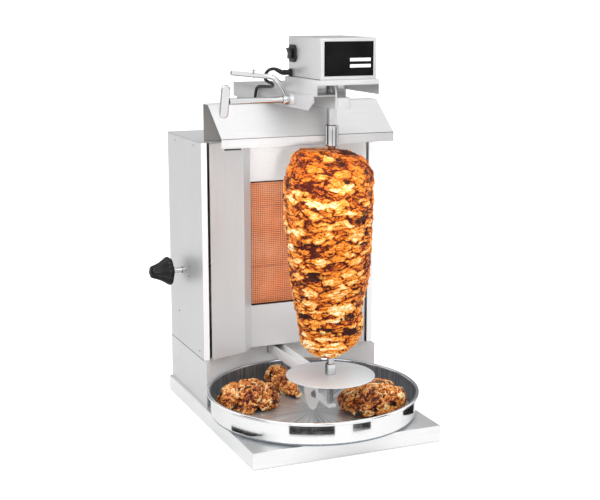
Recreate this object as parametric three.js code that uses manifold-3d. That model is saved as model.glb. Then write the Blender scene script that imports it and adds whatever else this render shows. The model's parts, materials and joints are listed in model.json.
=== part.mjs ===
// Vertical rotisserie broiler (doner / gyros grill) with one infrared gas burner.
// Millimetres, +Z up. The operator stands on the -Y side and looks along +Y.
// Working coordinates: X = 0 is the middle plane, Y = 0 the front edge of the base tray,
// Z = 0 the surface the rubber feet stand on. ORIGIN moves the finished assembly so that
// its origin is the middle of its own outline, on that surface.
import * as THREE from 'three';
import { mergeVertices } from 'three/addons/utils/BufferGeometryUtils.js';
import Module from 'manifold-3d';

const wasm = await Module();
wasm.setup();

// ---------------------------------------------------------------- driving dimensions
const ORIGIN = [-26.15, 280.15, 0];
const GAP = 0.3;                       // clearance between pieces that touch
const BASE_W = 440, BASE_D = 584, TRAY_TOP = 38, TRAY_BOTTOM = 2, SHEET = 2;
const HALF = 213;                      // half width of casing and plinth
const CASE_Y0 = 330, CASE_Y1 = 582;    // casing front and back
const DECK_Z = 144, CASE_TOP = 643;    // plinth top, casing top
const PAN_Y = 197, PAN_R = 236, PAN_RIM_Z = 90.5;
const COVE_R = 243;                    // concave plinth front round the pan
const SPIT_Y = 102;                    // spit axis, on X = 0
const DISC_R = 97, DISC_Z = 150.5, DISC_T = 2.5;
const SPIT_SQ = 12.5, HEAD_SQ = 16;    // spit bar, square head and drive square
const STROKE = 50;                     // travel of the head and of the lower arm
const CH_HALF = 70, CH_Z0 = 731, CH_Z1 = 763, CH_Y0 = 39, CH_Y1 = 510, CH_CUT = 180;
const ROD_Y = 148, ROD_Z = 748, ROD_R = 6.5;
const BOX_HALF = 62, BOX_Y0 = 21.5, BOX_Y1 = 187.5, BOX_Z0 = 794.8, BOX_Z1 = 878;
const KNOB_Y = 486, KNOB_Z = 326;
const INLET = [-167, 262];             // x and z of the gas inlet in the back panel
const CORD_D = 6.6;

// ---------------------------------------------------------------- geometry helpers
function bare(g) {
  g = g.clone();
  for (const k of Object.keys(g.attributes)) if (k !== 'position') g.deleteAttribute(k);
  g = mergeVertices(g, 1e-4);
  return outward(g);
}
function outward(g) {
  const p = g.attributes.position, ix = g.index.array;
  let v = 0;
  for (let i = 0; i < ix.length; i += 3) {
    const a = ix[i], b = ix[i + 1], c = ix[i + 2];
    const ax = p.getX(a), ay = p.getY(a), az = p.getZ(a);
    const bx = p.getX(b), by = p.getY(b), bz = p.getZ(b);
    const cx = p.getX(c), cy = p.getY(c), cz = p.getZ(c);
    v += ax * (by * cz - bz * cy) - ay * (bx * cz - bz * cx) + az * (bx * cy - by * cx);
  }
  const out = [];
  for (let i = 0; i < ix.length; i += 3) {
    const a = ix[i], b = ix[i + 1], c = ix[i + 2];
    if (a === b || b === c || a === c) continue;
    if (v < 0) out.push(a, c, b); else out.push(a, b, c);
  }
  g.setIndex(out);
  return g;
}
function solid(g) {
  const b = bare(g);
  return new wasm.Manifold(new wasm.Mesh({
    numProp: 3,
    vertProperties: new Float32Array(b.attributes.position.array),
    triVerts: new Uint32Array(b.index.array),
  }));
}
function back(m) {
  const r = m.getMesh();
  const g = new THREE.BufferGeometry();
  const n = r.vertProperties.length / r.numProp, pos = new Float32Array(n * 3);
  for (let i = 0; i < n; i++) for (let k = 0; k < 3; k++) pos[3 * i + k] = r.vertProperties[r.numProp * i + k];
  g.setAttribute('position', new THREE.BufferAttribute(pos, 3));
  g.setIndex(Array.from(r.triVerts));
  return g;
}
function cut(a, ...tools) {
  let m = solid(a);
  for (const t of tools) m = m.subtract(solid(t));
  return back(m);
}
function join(a, ...more) {
  let m = solid(a);
  for (const t of more) m = m.add(solid(t));
  return back(m);
}
function box(x0, x1, y0, y1, z0, z1) {
  const g = new THREE.BoxGeometry(x1 - x0, y1 - y0, z1 - z0);
  g.translate((x0 + x1) / 2, (y0 + y1) / 2, (z0 + z1) / 2);
  return g;
}
function shape(points, holes = []) {
  const s = new THREE.Shape(points.map((p) => new THREE.Vector2(p[0], p[1])));
  for (const h of holes) s.holes.push(new THREE.Path(h.map((p) => new THREE.Vector2(p[0], p[1]))));
  return s;
}
function prismZ(points, z0, z1, holes) {      // points are (x, y)
  const g = new THREE.ExtrudeGeometry(shape(points, holes), { depth: z1 - z0, bevelEnabled: false });
  g.translate(0, 0, z0);
  return g;
}
function prismX(points, x0, x1, holes) {      // points are (y, z)
  const g = new THREE.ExtrudeGeometry(shape(points, holes), { depth: x1 - x0, bevelEnabled: false });
  g.applyMatrix4(new THREE.Matrix4().makeBasis(new THREE.Vector3(0, 1, 0), new THREE.Vector3(0, 0, 1), new THREE.Vector3(1, 0, 0)));
  g.translate(x0, 0, 0);
  return g;
}
function prismY(points, y0, y1, holes) {      // points are (x, z)
  const g = new THREE.ExtrudeGeometry(shape(points, holes), { depth: y1 - y0, bevelEnabled: false });
  g.applyMatrix4(new THREE.Matrix4().makeBasis(new THREE.Vector3(1, 0, 0), new THREE.Vector3(0, 0, 1), new THREE.Vector3(0, -1, 0)));
  g.translate(0, y1, 0);
  return g;
}
function plateY(points, y0, y1, holes) {      // flat sheet facing -Y with holes cut right through
  return cut(prismY(points, y0, y1), ...holes.map((h) => prismY(h, y0 - 2, y1 + 2)));
}
function rect(a0, a1, b0, b1) { return [[a0, b0], [a1, b0], [a1, b1], [a0, b1]]; }
function circle(cx, cy, r, n = 24, a0 = 0) {
  const out = [];
  for (let i = 0; i < n; i++) {
    const a = a0 + (2 * Math.PI * i) / n;
    out.push([cx + r * Math.cos(a), cy + r * Math.sin(a)]);
  }
  return out;
}
function sheet(path, t) {                     // closed outline of a bent sheet from its middle line
  const n = path.length, left = [], right = [];
  for (let i = 0; i < n; i++) {
    const p = path[i], a = path[Math.max(0, i - 1)], b = path[Math.min(n - 1, i + 1)];
    let d0 = i > 0 ? [p[0] - a[0], p[1] - a[1]] : [b[0] - p[0], b[1] - p[1]];
    let d1 = i < n - 1 ? [b[0] - p[0], b[1] - p[1]] : d0;
    const l0 = Math.hypot(...d0), l1 = Math.hypot(...d1);
    d0 = [d0[0] / l0, d0[1] / l0]; d1 = [d1[0] / l1, d1[1] / l1];
    let nx = -(d0[1] + d1[1]), ny = d0[0] + d1[0];
    const l = Math.hypot(nx, ny); nx /= l; ny /= l;
    const k = (t / 2) / Math.max(0.35, nx * -d0[1] + ny * d0[0]);
    left.push([p[0] + nx * k, p[1] + ny * k]);
    right.push([p[0] - nx * k, p[1] - ny * k]);
  }
  return left.concat(right.reverse());
}
function lathe(profile, seg = 32) {           // profile points are (radius, z)
  const g = new THREE.LatheGeometry(profile.map((p) => new THREE.Vector2(p[0], p[1])), seg);
  g.rotateX(Math.PI / 2);
  return g;
}
function ring(profile, seg = 32) { return lathe(profile.concat([profile[0]]), seg); }
function at(g, x, y, z) { g.translate(x, y, z); return g; }
function alongX(g) { g.rotateY(Math.PI / 2); return g; }   // +Z becomes +X
function alongY(g) { g.rotateX(-Math.PI / 2); return g; }  // +Z becomes +Y
function rod(r, z0, z1, seg = 20) { return lathe([[0, z0], [r, z0], [r, z1], [0, z1]], seg); }
function hexa(r, z0, z1) { return prismZ(circle(0, 0, r, 6), z0, z1); }
function tube(points, r, steps, sides = 8, tension = 0.5) {
  const curve = new THREE.CatmullRomCurve3(points.map((p) => new THREE.Vector3(...p)), false, 'centripetal', tension);
  return new THREE.ExtrudeGeometry(shape(circle(0, 0, r, sides)), { steps, extrudePath: curve, bevelEnabled: false });
}
function mirrorX(points) { return points.map((p) => [-p[0], p[1]]).reverse(); }
function arcPts(cx, cy, r, a0, a1, n) {
  const out = [];
  for (let i = 0; i <= n; i++) {
    const a = a0 + ((a1 - a0) * i) / n;
    out.push([cx + r * Math.sin(a), cy + r * Math.cos(a)]);
  }
  return out;
}

// ---------------------------------------------------------------- assembly
const root = new THREE.Group();
function group(x = 0, y = 0, z = 0) {
  const g = new THREE.Group();
  g.position.set(x, y, z);
  root.add(g);
  return g;
}
root.position.set(-ORIGIN[0], -ORIGIN[1], -ORIGIN[2]);
const BODYWORK = group(), BURNER = group(), HEAD = group(), LOWER = group();
const STEEL = [0xd3d5d6, 0.28, 1.0], BRIGHT = [0xe4e6e7, 0.16, 1.0], DULL = [0x9c9fa1, 0.5, 0.9];
function add(parent, name, geometry, [color, roughness, metalness], place = [0, 0, 0]) {
  const g = bare(geometry);
  g.computeVertexNormals();
  const m = new THREE.Mesh(g, new THREE.MeshStandardMaterial({ color, roughness, metalness }));
  m.name = name;
  m.position.set(...place);
  parent.add(m);
  return m;
}

// ---- base tray and feet
add(BODYWORK, 'base_tray', cut(
  box(-BASE_W / 2, BASE_W / 2, 0, BASE_D, TRAY_BOTTOM, TRAY_TOP),
  box(-BASE_W / 2 + SHEET, BASE_W / 2 - SHEET, SHEET, BASE_D - SHEET, TRAY_BOTTOM - 5, TRAY_TOP - SHEET),
), STEEL);
const foot = () => lathe([[0, 0], [12, 0], [14, 3], [14, TRAY_TOP - SHEET - GAP], [0, TRAY_TOP - SHEET - GAP]], 16);
for (const [n, x, y] of [['front_left', -186, 34], ['front_right', 186, 34], ['rear_left', -186, 550], ['rear_right', 186, 550]]) {
  add(BODYWORK, `foot_${n}`, foot(), [0x1c1c1c, 0.85, 0], [x, y, 0]);
}

// ---- plinth with its concave front
const half = Math.asin(HALF / COVE_R), halfIn = Math.asin((HALF - SHEET) / (COVE_R + SHEET));
const plinthOuter = [[-HALF, CASE_Y1]].concat(arcPts(0, PAN_Y, COVE_R, -half, half, 26), [[HALF, CASE_Y1]]);
const plinthInner = [[-HALF + SHEET, CASE_Y1 - SHEET]].concat(arcPts(0, PAN_Y, COVE_R + SHEET, -halfIn, halfIn, 26), [[HALF - SHEET, CASE_Y1 - SHEET]]);
add(BODYWORK, 'plinth', cut(
  prismZ(plinthOuter, TRAY_TOP + GAP, DECK_Z - GAP),
  prismZ(plinthInner, TRAY_TOP - 3, DECK_Z - GAP - SHEET),
  box(-15.5, 15.5, 425, 450, 111.5, 141.5),
), STEEL);

// ---- casing
const Z0 = DECK_Z, Z1 = CASE_TOP - GAP;
const sideL = [[-HALF, CASE_Y0], [-199, CASE_Y0], [-199, CASE_Y0 + 1.8], [-HALF + 1.8, CASE_Y0 + 1.8], [-HALF + 1.8, CASE_Y1 - 2], [-HALF, CASE_Y1 - 2]];
add(BODYWORK, 'side_panel_left', cut(prismZ(sideL, Z0, Z1), at(alongX(rod(8, -20, 20, 20)), -HALF, KNOB_Y, KNOB_Z)), STEEL);
add(BODYWORK, 'side_panel_right', prismZ(mirrorX(sideL), Z0, Z1), STEEL);
const vents = [];
for (let r = 0; r < 4; r++) for (let c = 0; c < 3; c++) vents.push(rect(-30 + c * 62, 20 + c * 62, 560 + r * 16, 567 + r * 16));
for (let r = 0; r < 2; r++) for (let c = 0; c < 3; c++) vents.push(rect(-30 + c * 62, 20 + c * 62, 180 + r * 16, 187 + r * 16));
vents.push(circle(INLET[0], INLET[1], 11, 20));
add(BODYWORK, 'back_panel', plateY(rect(-HALF + 2.1, HALF - 2.1, Z0, Z1), CASE_Y1 - 4, CASE_Y1 - 2.2, vents), STEEL);
add(BODYWORK, 'top_panel', box(-HALF, HALF, CASE_Y0, CASE_Y1, CASE_TOP, CASE_TOP + 2), STEEL);
const wing = sheet([[-193, CASE_Y0 + 1], [-102, 361], [-76, 390]], 1.8);
add(BODYWORK, 'wing_left', prismZ(wing, Z0, CASE_TOP - 2), STEEL);
add(BODYWORK, 'wing_right', prismZ(mirrorX(wing), Z0, CASE_TOP - 2), STEEL);
add(BODYWORK, 'burner_panel', plateY(rect(-100, 100, Z0, CASE_TOP - 2), 391.8, 393.6, [rect(-73.5, 73.5, 246, 541)]), STEEL);
add(BODYWORK, 'heat_hood', prismX(sheet([[214.9, 642], [214.9, 662], [303, 728.6], [336, 728.6], [336, CASE_TOP + 2 + GAP]], 1.8), -204, 204), STEEL);

// ---- burner and gas train
add(BURNER, 'burner_box', cut(box(-82, 82, 401, 458, 236, 551), box(-79.5, 79.5, 395, 455.5, 238.5, 548.5), at(alongY(rod(14.5, -20, 20)), 0, 458, 262)), DULL);
const plaque = (z0, z1) => box(-79, 79, 410, 424, z0, z1);
add(BURNER, 'ceramic_plaque_bottom', plaque(239, 335.5), [0xd9a184, 0.9, 0]);
add(BURNER, 'ceramic_plaque_middle', plaque(336.5, 479.5), [0xd9a184, 0.9, 0]);
add(BURNER, 'ceramic_plaque_top', plaque(480.5, 548), [0xd9a184, 0.9, 0]);
const cells = [];
for (let i = 0; i < 4; i++) for (let j = 0; j < 8; j++) cells.push(rect(-77 + i * 38.75, -77 + i * 38.75 + 37.2, 241.4 + j * 38.15, 241.4 + j * 38.15 + 36.6));
add(BURNER, 'burner_mesh', plateY(rect(-79, 79, 239.2, 548.2), 403.5, 405, cells), [0xc06a4a, 0.6, 0.4]);
add(BURNER, 'venturi_tube', at(alongY(ring([[12, 0], [14, 0], [14, 44], [17, 58], [15.4, 58.6], [12, 44]], 24)), 0, 455.8, 262), DULL);
add(BURNER, 'gas_pipe', join(
  box(-9, 9, 524, 546, 252, 272),
  at(alongY(rod(4.5, -12, 2, 12)), 0, 526, 262),
  tube([[-7, 535, 262], [-30, 535, 262], [-70, 528, 272], [-112, 503, 308], [-130, 487.5, 325], [-140, 486, 326], [-148.9, 486, 326]], 4, 24, 10),
), [0xb08d4a, 0.35, 1]);
add(BURNER, 'gas_valve', cut(join(
  box(-185.7, -149.7, 474, 498, 314, 338),
  at(rod(7.5, 303, 316, 16), -167, 486, 0),
), at(alongX(rod(6.4, -190, -177, 16)), 0, KNOB_Y, KNOB_Z)), [0xb39a5c, 0.35, 1]);
add(BURNER, 'gas_inlet', join(
  tube([[-167, 486, 302.6], [-167, 487, 288], [-167, 502, 268], [-167, 530, 262], [-167, 578, 262]], 5, 12, 10),
  at(alongY(hexa(9.5, 572, 577.5)), INLET[0], 0, INLET[1]),
  at(alongY(ring([[4, 576], [7.5, 576], [7.5, 601], [6.5, 603], [4, 603]], 20)), INLET[0], 0, INLET[1]),
), [0xb08d4a, 0.35, 1]);
add(BURNER, 'thermocouple', tube([[-160, 473.2, 326], [-160, 468, 326], [-156, 455, 345], [-120, 432, 420], [-101, 404, 474], [-92, 397.6, 492], [-66, 397.6, 497]], 1.4, 20, 6), [0xa8653a, 0.4, 1]);

// ---- support of the upper arm, and the fixed channel with its clamp boss
add(BODYWORK, 'arm_support', prismY(sheet([[-54, CASE_TOP + 3.4], [-66, CASE_TOP + 3.4], [-66, 759.6], [66, 759.6], [66, CASE_TOP + 3.4], [54, CASE_TOP + 3.4]], 2.2), 352, 496), STEEL);
add(BODYWORK, 'upper_arm_channel', join(cut(
  prismY(sheet([[-CH_HALF + 1, CH_Z0], [-CH_HALF + 1, CH_Z1 - 1], [CH_HALF - 1, CH_Z1 - 1], [CH_HALF - 1, CH_Z0]], 2), CH_Y0, CH_Y1),
  prismX([[CH_Y0 - 5, CH_Z0 - 5], [CH_Y0 + 27, CH_Z0 - 5], [CH_Y0 + 27, CH_Z0], [CH_Y0, CH_Z0 + 18], [CH_Y0 - 5, CH_Z0 + 18]], -90, 90),
  box(-18.6, CH_HALF + 5, CH_Y0 - 5, CH_CUT, CH_Z0 - 5, CH_Z1 + 5),
  at(alongX(rod(7.2, -20, 20, 20)), -CH_HALF, ROD_Y, ROD_Z),
), at(alongX(ring([[7.2, -9], [11.5, -9], [11.5, 0.6], [7.2, 0.6]], 20)), -CH_HALF, ROD_Y, ROD_Z)), STEEL);

// ---- drip pan and the cooked pieces lying in it
const P = PAN_R, R = PAN_RIM_Z;
add(BODYWORK, 'drip_pan', lathe([
  [0, TRAY_TOP + GAP], [P - 12, TRAY_TOP + GAP], [P - 6.5, TRAY_TOP + 3], [P - 4.6, TRAY_TOP + 8], [P - 3.6, R - 5], [P + 0.5, R - 4.6],
  [P + 3.2, R - 2.2], [P + 3.7, R + 0.8], [P + 2, R + 3.2], [P - 1, R + 4], [P - 4, R + 2.6], [P - 5.4, R - 1],
  [P - 6.2, TRAY_TOP + 9], [P - 8, TRAY_TOP + 4.2], [P - 12.5, TRAY_TOP + 2.2], [0, TRAY_TOP + 2.2],
], 44), BRIGHT, [0, PAN_Y, 0]);
function lump(cx, cy, rx, ry, h, turn, seed, taper = 0) {   // taper widens the +Y end
  const g = new THREE.SphereGeometry(1, 14, 9);
  g.rotateX(Math.PI / 2);
  const p = g.attributes.position;
  for (let i = 0; i < p.count; i++) {
    const x = p.getX(i), y = p.getY(i), z = p.getZ(i);
    const k = 1 + 0.07 * Math.sin(5 * x + seed) * Math.cos(4 * y - seed);
    const t = 1 + taper * y;
    const X = x * rx * k * t, Y = y * ry * k, Z = z > 0 ? Math.pow(z, 0.85) * h * t * (0.9 + 0.1 * Math.cos(6 * x + 3 * y + seed)) : 0;
    p.setXYZ(i, X * Math.cos(turn) - Y * Math.sin(turn), X * Math.sin(turn) + Y * Math.cos(turn), Z + 0.02 * Math.abs(z));
  }
  const top = solid(g), slab = solid(box(-200, 200, -200, 200, 0.1, 200));
  return at(back(top.intersect(slab)), cx, cy, TRAY_TOP + 2.4);
}
const MEAT = [0xb5652c, 0.6, 0];

// ---- head that slides in the channel: bar with its lug, bearing tube, mount, motor housing
add(HEAD, 'head_bar', join(cut(
  box(-14, 14, 42, 430, CH_Z0 + 2.5, CH_Z1 - 6),
  box(-12, 12, 125, 440, CH_Z0 + 4.5, CH_Z1 - 8),
  at(rod(12.6, 720, 770, 24), 0, SPIT_Y, 0),
), prismX([[45, CH_Z0 + 2.5], [85, CH_Z0 + 2.5], [85, 762], [82.5, 771], [76, 778.5], [68, 782.4], [62, 782.4], [54, 778.5], [47.5, 771], [45, 762]], -17.6, -13.9, [circle(65, 770, 4, 12)])), STEEL);
add(HEAD, 'bearing_tube', at(ring([[10.4, CH_Z0 + 0.8], [12.2, CH_Z0 + 0.8], [12.2, 792.2], [10.4, 792.2]], 28), 0, SPIT_Y, 0), DULL);
add(HEAD, 'motor_mount', cut(
  box(-CH_HALF, CH_HALF, 21, 188, CH_Z1 + 0.4, 794.5),
  box(-CH_HALF + 2, CH_HALF - 2, 23, 186, CH_Z1 - 5, 792.5),
  box(-CH_HALF + 2, CH_HALF - 2, 15, 30, CH_Z1 - 5, 784),
  at(rod(10.4, 780, 800, 24), 0, SPIT_Y, 0),
), STEEL);
add(HEAD, 'motor_housing', cut(
  box(-BOX_HALF, BOX_HALF, BOX_Y0, BOX_Y1, BOX_Z0, BOX_Z1),
  box(-BOX_HALF + 1.5, BOX_HALF - 1.5, BOX_Y0 + 1.5, BOX_Y1 - 1.5, BOX_Z0 - 5, BOX_Z1 - 1.5),
), STEEL);
add(HEAD, 'front_plate', box(-53.5, 55, BOX_Y0 - 1.5, BOX_Y0 - GAP, 802, 871), [0x161617, 0.35, 0.1]);
add(HEAD, 'gearbox_case', cut(
  box(-44, 44, 56, 176, 795.1, 819),
  box(-42, 42, 58, 174, 797.1, 817),
  at(rod(10.3, 790, 800, 24), 0, SPIT_Y, 0),
  at(rod(4.2, 810, 825, 12), 0, 148, 0),
), DULL);
add(HEAD, 'motor_body', at(ring([[3.6, 819.4], [24, 819.4], [25, 822], [25, 862], [22, 866], [3.6, 866]], 24), 0, 148, 0), [0x5a5d60, 0.5, 0.6]);
add(HEAD, 'switch_bezel', prismX([[142, 833], [150, 825], [172, 825], [180, 833], [180, 853], [172, 861], [150, 861], [142, 853]], -BOX_HALF - 4, -BOX_HALF - GAP), [0x151515, 0.5, 0]);
add(HEAD, 'switch_rocker', prismY([[-68.4, 832], [-72.4, 832], [-71.4, 843], [-75.4, 854], [-68.4, 854]], 151, 171), [0x1b1b1b, 0.4, 0]);
add(HEAD, 'cable_gland', at(alongX(lathe([[0, -10.5], [4.6, -10.5], [5.6, -8], [5.6, -4.5], [8, -4.5], [8, 0], [0, 0]], 16)), -BOX_HALF - GAP, 172, 803), [0x181818, 0.6, 0]);

// ---- drive: gear, shaft, coupling sleeve, motor pinion
function gearOutline(ro, ri, teeth) {
  const pts = [];
  for (let i = 0; i < teeth; i++) {
    for (const [f, r] of [[0.0, ri], [0.22, ri], [0.36, ro], [0.64, ro], [0.78, ri]]) {
      const a = (2 * Math.PI * (i + f)) / teeth;
      pts.push([r * Math.cos(a), r * Math.sin(a)]);
    }
  }
  return pts;
}
add(HEAD, 'drive_gear', at(prismZ(gearOutline(36, 32.6, 24), 804.4, 812, [circle(0, 0, 6.4, 20)]), 0, SPIT_Y, 0), [0xb7a06a, 0.4, 1]);
add(HEAD, 'drive_shaft', at(join(
  box(-HEAD_SQ / 2, HEAD_SQ / 2, -HEAD_SQ / 2, HEAD_SQ / 2, 676, 731),
  rod(9.6, 730, 804, 24),
  rod(6, 803, 815, 20),
), 0, SPIT_Y, 0), BRIGHT);
add(HEAD, 'motor_pinion', at(join(prismZ(gearOutline(9.4, 6.6, 6), 803.5, 812.5), rod(3.1, 800, 845, 16)), 0, 148, 0), [0x8d8f92, 0.35, 1]);
add(HEAD, 'coupling_sleeve', at(cut(
  lathe([[0, 652], [13.2, 652], [14.5, 653.5], [14.5, 694.5], [13.2, 696], [0, 696]], 28),
  box(-8.4, 8.4, -8.4, 8.4, 640, 710),
), 0, SPIT_Y, 0), BRIGHT);

// ---- clamp screw with its grip, and the bent lever on the same axis
add(BODYWORK, 'clamp_screw', at(alongX(rod(ROD_R, -209.8, -18.2, 20)), 0, ROD_Y, ROD_Z), BRIGHT);
function stadium(w, h, n = 8) {
  const out = [], r = w / 2, k = h / 2 - r;
  for (let i = 0; i <= n; i++) { const a = (Math.PI * i) / n; out.push([r * Math.cos(a), k + r * Math.sin(a)]); }
  for (let i = 0; i <= n; i++) { const a = Math.PI + (Math.PI * i) / n; out.push([r * Math.cos(a), -k + r * Math.sin(a)]); }
  return out;
}
const grip = prismY(stadium(19, 72), -4, 4);
grip.rotateX(0.26);
add(BODYWORK, 'clamp_grip', at(grip, -219.7, ROD_Y, ROD_Z), BRIGHT);
add(BODYWORK, 'bent_lever', join(
  at(alongX(ring([[6.9, -92], [10, -92], [11, -90.5], [11, -81], [10, -79.4], [6.9, -79.4]], 24)), 0, ROD_Y, ROD_Z),
  tube([[-85.5, ROD_Y, ROD_Z + 9.2], [-89, ROD_Y, ROD_Z + 17], [-98, ROD_Y, ROD_Z + 32], [-108, ROD_Y, ROD_Z + 43.5], [-121, ROD_Y, ROD_Z + 48.5], [-148, ROD_Y, ROD_Z + 51.5], [-205, ROD_Y, ROD_Z + 58]], 5, 18, 10),
), BRIGHT);

// ---- lower arm with the foot bearing, and its guide in the plinth
const noseArc = [];
for (let i = 0; i <= 12; i++) { const a = Math.PI + (Math.PI * i) / 12; noseArc.push([179 + 38 * Math.cos(a), 87 + 37 * Math.sin(a)]); }
const armSide = [[520, 114], [520, 139], [152, 139], [141, 127]].concat(noseArc, [[226, 114]]);
add(LOWER, 'lower_arm', join(
  prismX(armSide, -13, -11),
  prismX(armSide, 11, 13),
  box(-12, 12, 226, 520, 114, 116),
  box(-12, 12, 113, 178, 83, 101),
  box(-9, 9, 91, 116, 80, 86.4),
), STEEL);
add(LOWER, 'arm_bolt', at(alongX(join(hexa(6.6, -19, -13.3), rod(8.4, -15, -13.3, 16))), 0, 158, 92), DULL);
add(BODYWORK, 'lower_arm_guide', prismY(sheet([[-14.2, 141], [-14.2, 112.8], [14.2, 112.8], [14.2, 141]], 1.6), 452, 574), DULL);

// ---- spit with its disc, and the meat on it
add(LOWER, 'spit', at(join(
  lathe([[0, 87], [4, 87], [6.2, 90], [6.2, 154], [0, 154]], 20),
  box(-SPIT_SQ / 2, SPIT_SQ / 2, -SPIT_SQ / 2, SPIT_SQ / 2, 153.6, 655),
  box(-HEAD_SQ / 2, HEAD_SQ / 2, -HEAD_SQ / 2, HEAD_SQ / 2, 653.2, 672),
), 0, SPIT_Y, 0), BRIGHT);
add(LOWER, 'spit_disc', at(ring([[6.6, DISC_Z], [DISC_R - 1, DISC_Z], [DISC_R, DISC_Z + 0.8], [DISC_R, DISC_Z + DISC_T - 0.8], [DISC_R - 1, DISC_Z + DISC_T], [6.6, DISC_Z + DISC_T]], 48), 0, SPIT_Y, 0), BRIGHT);
add(LOWER, 'disc_hub', at(prismZ(rect(-8.6, 8.6, -8.6, 8.6), DISC_Z + DISC_T + GAP, 177, [rect(-6.6, 6.6, -6.6, 6.6)]), 0, SPIT_Y, 0), BRIGHT);
const MEAT_Z = [[20, 192], [42, 199], [60, 212], [67, 224], [74.5, 267], [80, 307], [90, 360], [96.5, 421], [100.5, 474], [104, 522], [104, 574], [98, 602], [70, 632], [42, 643], [20, 645]];
add(LOWER, 'meat_cone', at(ring([[9.4, 192]].concat(MEAT_Z, [[9.4, 645]]), 24), 0, SPIT_Y, 0), MEAT);
add(BODYWORK, 'chicken_left', lump(-125, 277, 73, 57, 62, 0.11, 1), MEAT);
add(BODYWORK, 'chicken_middle', lump(-13, 346, 32, 64, 58, 0.06, 2, 0.38), MEAT);
add(BODYWORK, 'chicken_right', lump(126, 147, 80, 61, 68, -0.35, 3), MEAT);

// ---- gas knob with its stem
add(BODYWORK, 'valve_stem', at(alongX(rod(6, -234.7, -183, 16)), 0, KNOB_Y, KNOB_Z), BRIGHT);
add(BODYWORK, 'gas_knob', at(join(
  alongX(lathe([[0, -292], [6, -292], [9, -289], [15, -262], [20, -252], [30, -250], [34, -246], [34.5, -238], [33, -235], [0, -235]], 28)),
  prismY([[-240, -24], [-250, -31], [-262, -30], [-286, -17], [-292, -12], [-292, 12], [-286, 17], [-262, 30], [-250, 31], [-240, 24]], -7.5, 7.5),
), 0, KNOB_Y, KNOB_Z), [0x161616, 0.45, 0]);

// ---- mains cord: stub at the gland, lead clipped along the channel, coil and plug behind the object
const CORD = [0x141414, 0.55, 0];
const CORD_ROUTE = [
  [-81.2, 172, 803], [-85, 172.2, 803.8], [-90.5, 173.8, 807], [-98, 177, 810.5], [-108, 181.5, 808.5], [-114.5, 187, 799], [-112, 194, 788], [-102, 202, 782], [-91, 212, 778.5],
  [-82, 227, 773], [-76.5, 246, 769], [-74.6, 275, 767], [-74.4, 305, 765.5], [-74.4, 330, 763.5], [-74.4, 344, 758.5], [-74.4, 351, 748], [-74.6, 354.5, 733], [-75, 357.5, 715],
  [-75.6, 363, 692], [-77, 373, 671], [-78.5, 387, 656.5], [-79, 402, 650.8], [-79, 430, 649.2], [-79, 465, 649.1], [-79, 500, 649.1], [-79, 535, 649.2], [-79, 566, 649.7],
  [-79, 583, 650], [-79, 592.5, 644], [-79, 597, 630], [-79, 598, 610], [-79, 598, 560], [-79, 598, 480], [-79, 598, 400], [-79, 598, 320],
  [-79, 598, 240], [-79, 599, 160], [-79, 602, 100], [-79, 610, 55], [-78, 626, 22], [-74, 650, 6.5], [-68, 672, 3.6], [-63.2, 685, 3.5],
];
const coilC = [-24, 700];
add(HEAD, 'cord_stub', tube([[-72.9 - GAP, 172, 803], [-76.5, 172, 803], [-80, 172, 803]], CORD_D / 2, 3, 10), CORD);
add(BODYWORK, 'cord_lead', tube(CORD_ROUTE, CORD_D / 2, 80, 8), CORD);
add(BODYWORK, 'cord_coil', at(ring([[29, 0.2], [43, 0.2], [43.4, 7], [40.6, 13.4], [31.4, 13.4], [28.6, 7]], 28), coilC[0] + 4.6, coilC[1], 0), CORD);
add(BODYWORK, 'mains_plug', at(join(
  alongX(lathe([[0, 0], [5, 0], [9, 8], [17, 14], [18.5, 20], [18.5, 34], [17.5, 36], [0, 36]], 20)),
  at(alongX(rod(2.4, 35, 55, 10)), 0, 9.5, 0),
  at(alongX(rod(2.4, 35, 55, 10)), 0, -9.5, 0),
), 20, 740, 18.6), [0x141414, 0.5, 0]);

export default root;
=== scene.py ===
import math
import bpy, bmesh
import numpy as np
from mathutils import Matrix, Vector, noise
from mathutils.bvhtree import BVHTree
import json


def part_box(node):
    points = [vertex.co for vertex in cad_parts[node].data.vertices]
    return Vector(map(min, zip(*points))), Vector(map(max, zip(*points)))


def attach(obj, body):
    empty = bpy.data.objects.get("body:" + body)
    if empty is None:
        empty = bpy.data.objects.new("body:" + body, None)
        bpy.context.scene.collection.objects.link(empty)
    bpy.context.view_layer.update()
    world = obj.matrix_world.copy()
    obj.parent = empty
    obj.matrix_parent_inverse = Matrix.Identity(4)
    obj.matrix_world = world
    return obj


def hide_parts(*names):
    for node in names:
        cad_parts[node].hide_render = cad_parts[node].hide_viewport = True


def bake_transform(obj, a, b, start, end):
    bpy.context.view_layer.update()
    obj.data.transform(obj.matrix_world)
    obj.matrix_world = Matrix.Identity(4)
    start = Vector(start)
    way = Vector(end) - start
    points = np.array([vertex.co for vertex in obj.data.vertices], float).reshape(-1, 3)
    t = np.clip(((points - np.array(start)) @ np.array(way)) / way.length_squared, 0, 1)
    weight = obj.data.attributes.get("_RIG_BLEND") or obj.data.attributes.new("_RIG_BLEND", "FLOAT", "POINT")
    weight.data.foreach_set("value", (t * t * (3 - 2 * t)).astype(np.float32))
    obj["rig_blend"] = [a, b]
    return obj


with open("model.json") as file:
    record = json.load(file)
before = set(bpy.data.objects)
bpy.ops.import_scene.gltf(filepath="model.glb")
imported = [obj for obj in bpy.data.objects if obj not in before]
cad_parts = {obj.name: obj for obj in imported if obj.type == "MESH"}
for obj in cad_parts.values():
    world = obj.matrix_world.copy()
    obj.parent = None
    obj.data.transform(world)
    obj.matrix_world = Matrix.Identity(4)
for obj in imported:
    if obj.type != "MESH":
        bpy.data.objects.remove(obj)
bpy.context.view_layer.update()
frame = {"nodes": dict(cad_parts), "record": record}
REC = frame["record"]
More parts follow.
